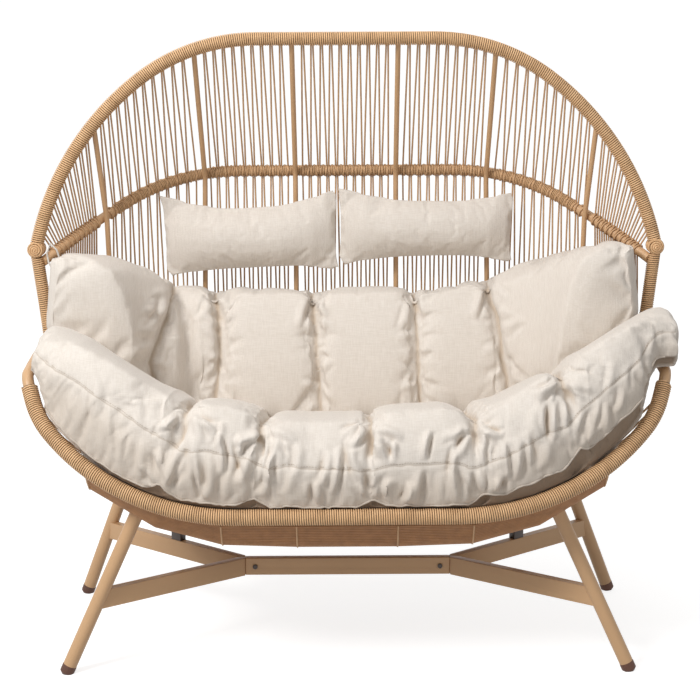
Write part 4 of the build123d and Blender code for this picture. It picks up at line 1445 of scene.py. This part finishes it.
from_seam = seam_distance(view, seam)
from_edge = seam_distance(view, edge)
front = smooth_step(-facing[:, 1], *facing_out_fine)
upper = smooth_step(facing[:, 2], *facing_up_fine)
shift = np.zeros(len(spots))
chance = np.random.default_rng(gather_seed)


def gather(start, tip, width, height):
    """A gathered fold that turns its hollow to one side or the other."""
    ends = (start, tip) if chance.uniform() < 0.5 else (tip, start)
    return fold(view, *ends, width, height, chance.uniform(-gather_bow, gather_bow)) * front


where = seam[0, 0] + gather_margin
while where < seam[-1, 0] - gather_margin:
    middle = read_off(where, seam)
    top = read_off(where, crest)
    foot = read_off(where, edge)
    begin = middle + (top - middle) * chance.uniform(*gather_start)
    room = max(begin - foot - gather_foot_gap, gather_least)
    reach = min(chance.uniform(*gather_reach), room)
    sides = [place - where for place, _ in seat_channels]
    pull = sum(np.sign(side) * np.exp(-abs(side) / channel_pull_half) for side in sides)
    lean = chance.uniform(-gather_lean, gather_lean) + channel_pull * pull
    start = np.array((where, begin))
    tip = start + np.array((lean * reach, -reach))
    calm = read_off(where, gather_calm)
    shift += gather(start, tip, chance.uniform(*gather_width), chance.uniform(*gather_height)) * calm
    where += gather_spacing * chance.uniform(*gather_steps)
for foot, head in seat_channels:
    top = read_off(head, crest)
    under_notch = read_off(foot, edge)
    for side in (-1, 1):
        for out, fall in crest_gathers:
            start = np.array((head + side * crest_gather_start[0], top + crest_gather_start[1]))
            tip = start + np.array((side * out, -fall)) * chance.uniform(*gather_sizes)
            shift += gather(start, tip, crest_gather_width, chance.uniform(*crest_gather_height))
        across, up = notch_gather
        start = np.array((foot + side * notch_gather_start[0], under_notch + notch_gather_start[1]))
        tip = start + np.array((side * across, up)) * chance.uniform(*gather_sizes)
        shift += gather(start, tip, notch_gather_width, chance.uniform(*notch_gather_height))
shift -= seam_dip * bell(from_seam, seam_dip_half) * front
height = front_share(spots, low, crest)
for places in channel_places(height):
    wander = crease_wander * np.sin(spots[:, 2] * crease_waves[0] + places * crease_waves[1])
    gap = np.abs(spots[:, 0] - places - wander)
    shift -= crease(gap) * upper * channel_grip(height)
below = (spots[:, 1] < roll_front_y) * front * (from_edge > under_reach)
shift -= under_step * smooth_step(-from_edge, 0.0, under_step_span) * below
put_places(seat, spots + facing * shift[:, None])
# Painted shade: the roll's front gets darker and warmer below its seam.
shaded = below_seam_shade * smooth_step(-from_seam, *below_seam_shade_span) * front
keep_values(
    seat,
    # The under panel is darkened as painted shade.
    under=smooth_step(-from_edge, -under_edge, under_edge) * below,
    # Painted shade in the folds and channels, and below the seam.
    hollow=np.maximum(hollows(shift), shaded),
    # Distance from the seam, for its line of painted shade.
    seam=np.where(front > 0.2, from_seam, 1.0),
)
seat_tree = surface_tree(seat)
piping_line = on_front(seat_tree, edge[3:-3], piping_radius * 0.3)
piping = tubes("seat_piping", [piping_line], piping_radius, 8, cushion_linen)
above_seam = seam + np.array((0.0, stitch_offset))
stitch_lines = stitch_row(on_front(seat_tree, above_seam[3:-3], 0.0))
stitches = tubes("seat_stitches", stitch_lines, thread_radius, 6, seam_thread)
tuft = tubes("seat_tie_end", [seat_tie_end], tie_radius, 10, tie_tape)
seat = joined("seat_cushion_cover", [in_linen(seat), piping, stitches, tuft])
finish_cushion(seat, "seat_cushion")

# Back cushion: one long cushion that stands on the seat and wraps round both sides of the
# basket. Sewn channels divide it into upright pads, and the left wing folds in at the corner.
back_channels = (
    ((-0.400, 0.79), (-0.415, 0.70), (-0.452, 0.60), (-0.438, 0.50)),
    ((-0.322, 0.77), (-0.300, 0.69), (-0.296, 0.60), (-0.316, 0.46)),
    ((-0.084, 0.77), (-0.073, 0.66), (-0.067, 0.55), (-0.060, 0.44)),
    ((0.157, 0.77), (0.165, 0.66), (0.168, 0.55), (0.179, 0.44)),
    ((0.325, 0.79), (0.350, 0.70), (0.364, 0.60), (0.390, 0.46)),
)
back_tie = (
    (-0.643, 0.075, 0.846), (-0.650, 0.070, 0.872), (-0.664, 0.074, 0.886), (-0.674, 0.080, 0.864),
    (-0.669, 0.070, 0.844), (-0.657, 0.065, 0.822), (-0.646, 0.075, 0.812),
)
back_pinch = 0.010
back_pinch_half = 0.019
wing_start = 0.35
wing_trims = ((-0.66, 0.030), (-0.56, 0.008), (-0.46, 0.0), (0.46, 0.0), (0.56, 0.012), (0.66, 0.036))
back_foot_lap = 0.012
wing_reach = (0.030, 0.012)
wing_reach_from = (0.50, 0.62)
back_foot_reach = 0.12
back_fold_seed = 11
back_swell = 0.013
back_draw = 0.003
over_top = ((0, 0.05, 0.004), (0, 0.02, 0.008))
turn_centre = (0.4, -0.05)
turn_span = (0.0, 0.4)
level_span = (0.40, 0.90, 0.015)
level_half = 0.010
level_points = 40
level_percentile = 15
flat_inner = 0.6
fill_span = (0.4, 0.7)
wing_fade = (0.004, 0.012)
bin_span = (-0.64, 0.65, 0.02)
bin_half = 0.015
bin_points = 20
foot_band = 0.015
wing_rise_from = (0.66, 0.15)
wing_wide_from = (0.55, 0.1)
back_held_facing = 0.5
back_held_inner = 0.3
back_sewn_half = 0.006
side_fold_start = 0.004
side_fold_reach = (0.02, 0.05)
side_fold_fall = (-0.03, 0.05)
side_fold_width = (0.008, 0.013)
side_fold_height = (0.002, 0.005)
top_fold_start = (0.010, 0.004)
top_fold_reach = (0.008, 0.03)
top_fold_fall = (0.05, 0.08)
top_fold_width = 0.009
top_fold_height = (0.004, 0.007)
route_steps = 8
softening = (0.25, 0.5, 0.25)


def softened(values):
    """A row of numbers, each eased towards its neighbours."""
    return np.convolve(np.pad(values, 1, mode="edge"), softening, mode="valid")


def channel_routes(tree):
    """The back's channels laid on its front, and carried up over its top."""
    routes = []
    for line in back_channels:
        fine = []
        for (x0, z0), (x1, z1) in zip(line, line[1:]):
            shares = [step / route_steps for step in range(route_steps)]
            fine += [(x0 + (x1 - x0) * share, z0 + (z1 - z0) * share) for share in shares]
        route = [hit for hit in (from_front(tree, x, z) for x, z in fine + [line[-1]]) if hit is not None]
        routes.append([route[0] + np.array(step) for step in over_top] + route)
    return routes


def turned_in(spots, facing):
    """1 where the back cushion's cover faces the sitter, 0 where it faces the lacing."""
    outward = np.column_stack((spots[:, 0] * turn_centre[0], spots[:, 1] - turn_centre[1]))
    outward /= np.linalg.norm(outward, axis=1)[:, None]
    return smooth_step(-(facing[:, :2] * outward).sum(axis=1), *turn_span)


def filled_channels(spots, inner):
    """Takes the solid's wide channels out of the flat part of the back's front."""
    flat = (inner > flat_inner) & (np.abs(spots[:, 0]) < wing_start)
    levels = []
    fronts = []
    for level in np.arange(*level_span):
        here = flat & (np.abs(spots[:, 2] - level) <= level_half)
        if here.sum() > level_points:
            levels.append(level)
            fronts.append(np.percentile(spots[here, 1], level_percentile))
    edge = smooth_step(-np.abs(spots[:, 0]), -wing_start - wing_fade[0], -wing_start + wing_fade[1])
    share = smooth_step(inner, *fill_span) * edge * (spots[:, 2] < levels[-1])
    filled = spots.copy()
    filled[:, 1] += (np.interp(spots[:, 2], levels, softened(fronts)) - spots[:, 1]) * share
    return filled


def down_to_seat(spots):
    """Lowers the back's foot on to the seat: how far each place moves down."""
    middles, feet, drops = [], [], []
    for middle in np.arange(*bin_span):
        here = spots[np.abs(spots[:, 0] - middle) < bin_half]
        if len(here) < bin_points:
            continue
        foot = here[:, 2].min()
        gaps = []
        for x, y, z in here[here[:, 2] < foot + foot_band]:
            hit = seat_tree.ray_cast(Vector((x, y, 1)), Vector((0, 0, -1)))[0]
            if hit is not None:
                gaps.append(z - hit.z)
        middles.append(middle)
        feet.append(foot)
        drops.append(max(0.0, np.median(gaps) + back_foot_lap) if gaps else 0.0)
    above = spots[:, 2] - np.interp(spots[:, 0], middles, feet)
    return np.interp(spots[:, 0], middles, softened(drops)) * np.clip(1 - above / back_foot_reach, 0, 1)


back = cover("back_cushion", cover_voxel)
spots = rows_of(back)
facing = rows_of(back, "normal")
inner = turned_in(spots, facing)
spots = filled_channels(spots, inner) - facing * back_draw
spots[:, 2] -= down_to_seat(spots)
rise = np.clip((spots[:, 2] - wing_rise_from[0]) / wing_rise_from[1], 0, 1)
spots[:, 2] += read_off(spots[:, 0], wing_trims) * rise
wide = np.clip((spots[:, 2] - wing_wide_from[0]) / wing_wide_from[1], 0, 1)
wide = smooth_step(np.abs(spots[:, 0]), *wing_reach_from) * wide
spots[:, 0] += np.where(spots[:, 0] < 0, -wing_reach[0], wing_reach[1]) * wide
put_places(back, spots)
shift = np.zeros(len(spots))
for route in channel_routes(surface_tree(back)):
    shift -= back_pinch * bell(polyline_gap(spots, route), back_pinch_half)
put_places(back, spots + facing * shift[:, None])
spots = rows_of(back)
held = (facing[:, 2] < -back_held_facing).astype(float)
held = np.maximum(held, 1 - smooth_step(inner, 0.0, back_held_inner))
held *= (facing[:, 2] < back_held_facing)
for route in channel_routes(surface_tree(back)):
    held = np.maximum(held, (polyline_gap(spots, route) < back_sewn_half).astype(float))
swell(back, held, np.zeros(len(spots)), back_swell)
divided(back)
spots = rows_of(back)
facing = rows_of(back, "normal")
view = spots[:, [0, 2]]
front = turned_in(spots, facing)
shift = np.zeros(len(spots))
chance = np.random.default_rng(back_fold_seed)
for route in channel_routes(surface_tree(back)):
    shift -= crease(polyline_gap(spots, route))
    for place in route[2::3]:
        side = -1 if chance.uniform() < 0.5 else 1
        start = np.array((place[0] + side * side_fold_start, place[2]))
        reach = np.array((side * chance.uniform(*side_fold_reach), chance.uniform(*side_fold_fall)))
        width = chance.uniform(*side_fold_width)
        shift += gather(start, start + reach, width, chance.uniform(*side_fold_height))
    for side in (-1, 1):
        start = np.array((route[2][0] + side * top_fold_start[0], route[2][2] + top_fold_start[1]))
        reach = np.array((side * chance.uniform(*top_fold_reach), -chance.uniform(*top_fold_fall)))
        shift += gather(start, start + reach, top_fold_width, chance.uniform(*top_fold_height))
put_places(back, spots + facing * shift[:, None])
# The back's folds and channels get painted shade through 'hollow'.
keep_values(back, under=np.zeros(len(spots)), seam=np.ones(len(spots)), hollow=hollows(shift))
tie = tubes("back_tie_loop", [back_tie], tie_radius * 0.6, 10, tie_tape)
back = joined("back_cushion_cover", [in_linen(back), tie])
finish_cushion(back, "back_cushion")

# Head pillows: two small pillows that lean on the lacing, each sewn from two panels, so that the
# seam draws in round the edge and the four corners stand out in points.
pillow_voxel = 0.0045
pillow_seam_pinch = 0.003
pillow_seam_half = 0.003
pillow_rim_half = 0.004
pillow_slack = 0.5
pillow_swell = 0.005
pillow_point = 0.012
pillow_corners = {
    "left": ((-0.433, 0.957), (-0.023, 0.973), (-0.426, 0.779), (-0.024, 0.796), 0.018, 0.0),
    "right": ((-0.013, 0.973), (0.397, 0.962), (-0.014, 0.803), (0.390, 0.811), 0.007, 0.007),
}


def fitted(spots, corners):
    """Lays a pillow out to its four corners, with a dip in its top and a lift in its foot."""
    top_left, top_right, foot_left, foot_right, dip, lift = corners
    low = spots.min(axis=0)
    high = spots.max(axis=0)
    across = (spots[:, 0] - low[0]) / (high[0] - low[0])
    up = (spots[:, 2] - low[2]) / (high[2] - low[2])
    sag = 4 * across * (1 - across)
    tops = np.outer(1 - across, top_left) + np.outer(across, top_right)
    feet = np.outer(1 - across, foot_left) + np.outer(across, foot_right)
    tops[:, 1] -= dip * sag
    feet[:, 1] += lift * sag
    laid = spots.copy()
    laid[:, [0, 2]] = feet + (tops - feet) * up[:, None]
    corner = np.abs((2 * across - 1) * (2 * up - 1)) ** 4 * pillow_point
    laid[:, 0] += np.sign(across - 0.5) * corner
    laid[:, 2] += np.sign(up - 0.5) * corner
    return laid


for side in ("left", "right"):
    node = "head_pillow_" + side
    pillow = cover(node, pillow_voxel)
    put_places(pillow, fitted(rows_of(pillow), pillow_corners[side]))
    spots = rows_of(pillow)
    low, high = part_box(node)
    middle = (low[1] + high[1]) / 2
    rim_of = bell(spots[:, 1] - middle, pillow_rim_half)
    swell(pillow, (rim_of > 0.8).astype(float), np.full(len(spots), pillow_slack), pillow_swell)
    divided(pillow)
    spots = rows_of(pillow)
    facing = rows_of(pillow, "normal")
    gap = spots[:, 1] - middle
    at_edge = 1 - np.abs(facing[:, 1])
    shift = -pillow_seam_pinch * bell(gap, pillow_seam_half) * at_edge
    put_places(pillow, spots + facing * shift[:, None])
    plain = np.zeros(len(spots))
    # The pillow's edge seam gets its line of painted shade through 'seam'.
    keep_values(pillow, under=plain, hollow=plain, seam=np.where(at_edge > 0.5, gap, 1.0))
    finish_cushion(in_linen(pillow), node)
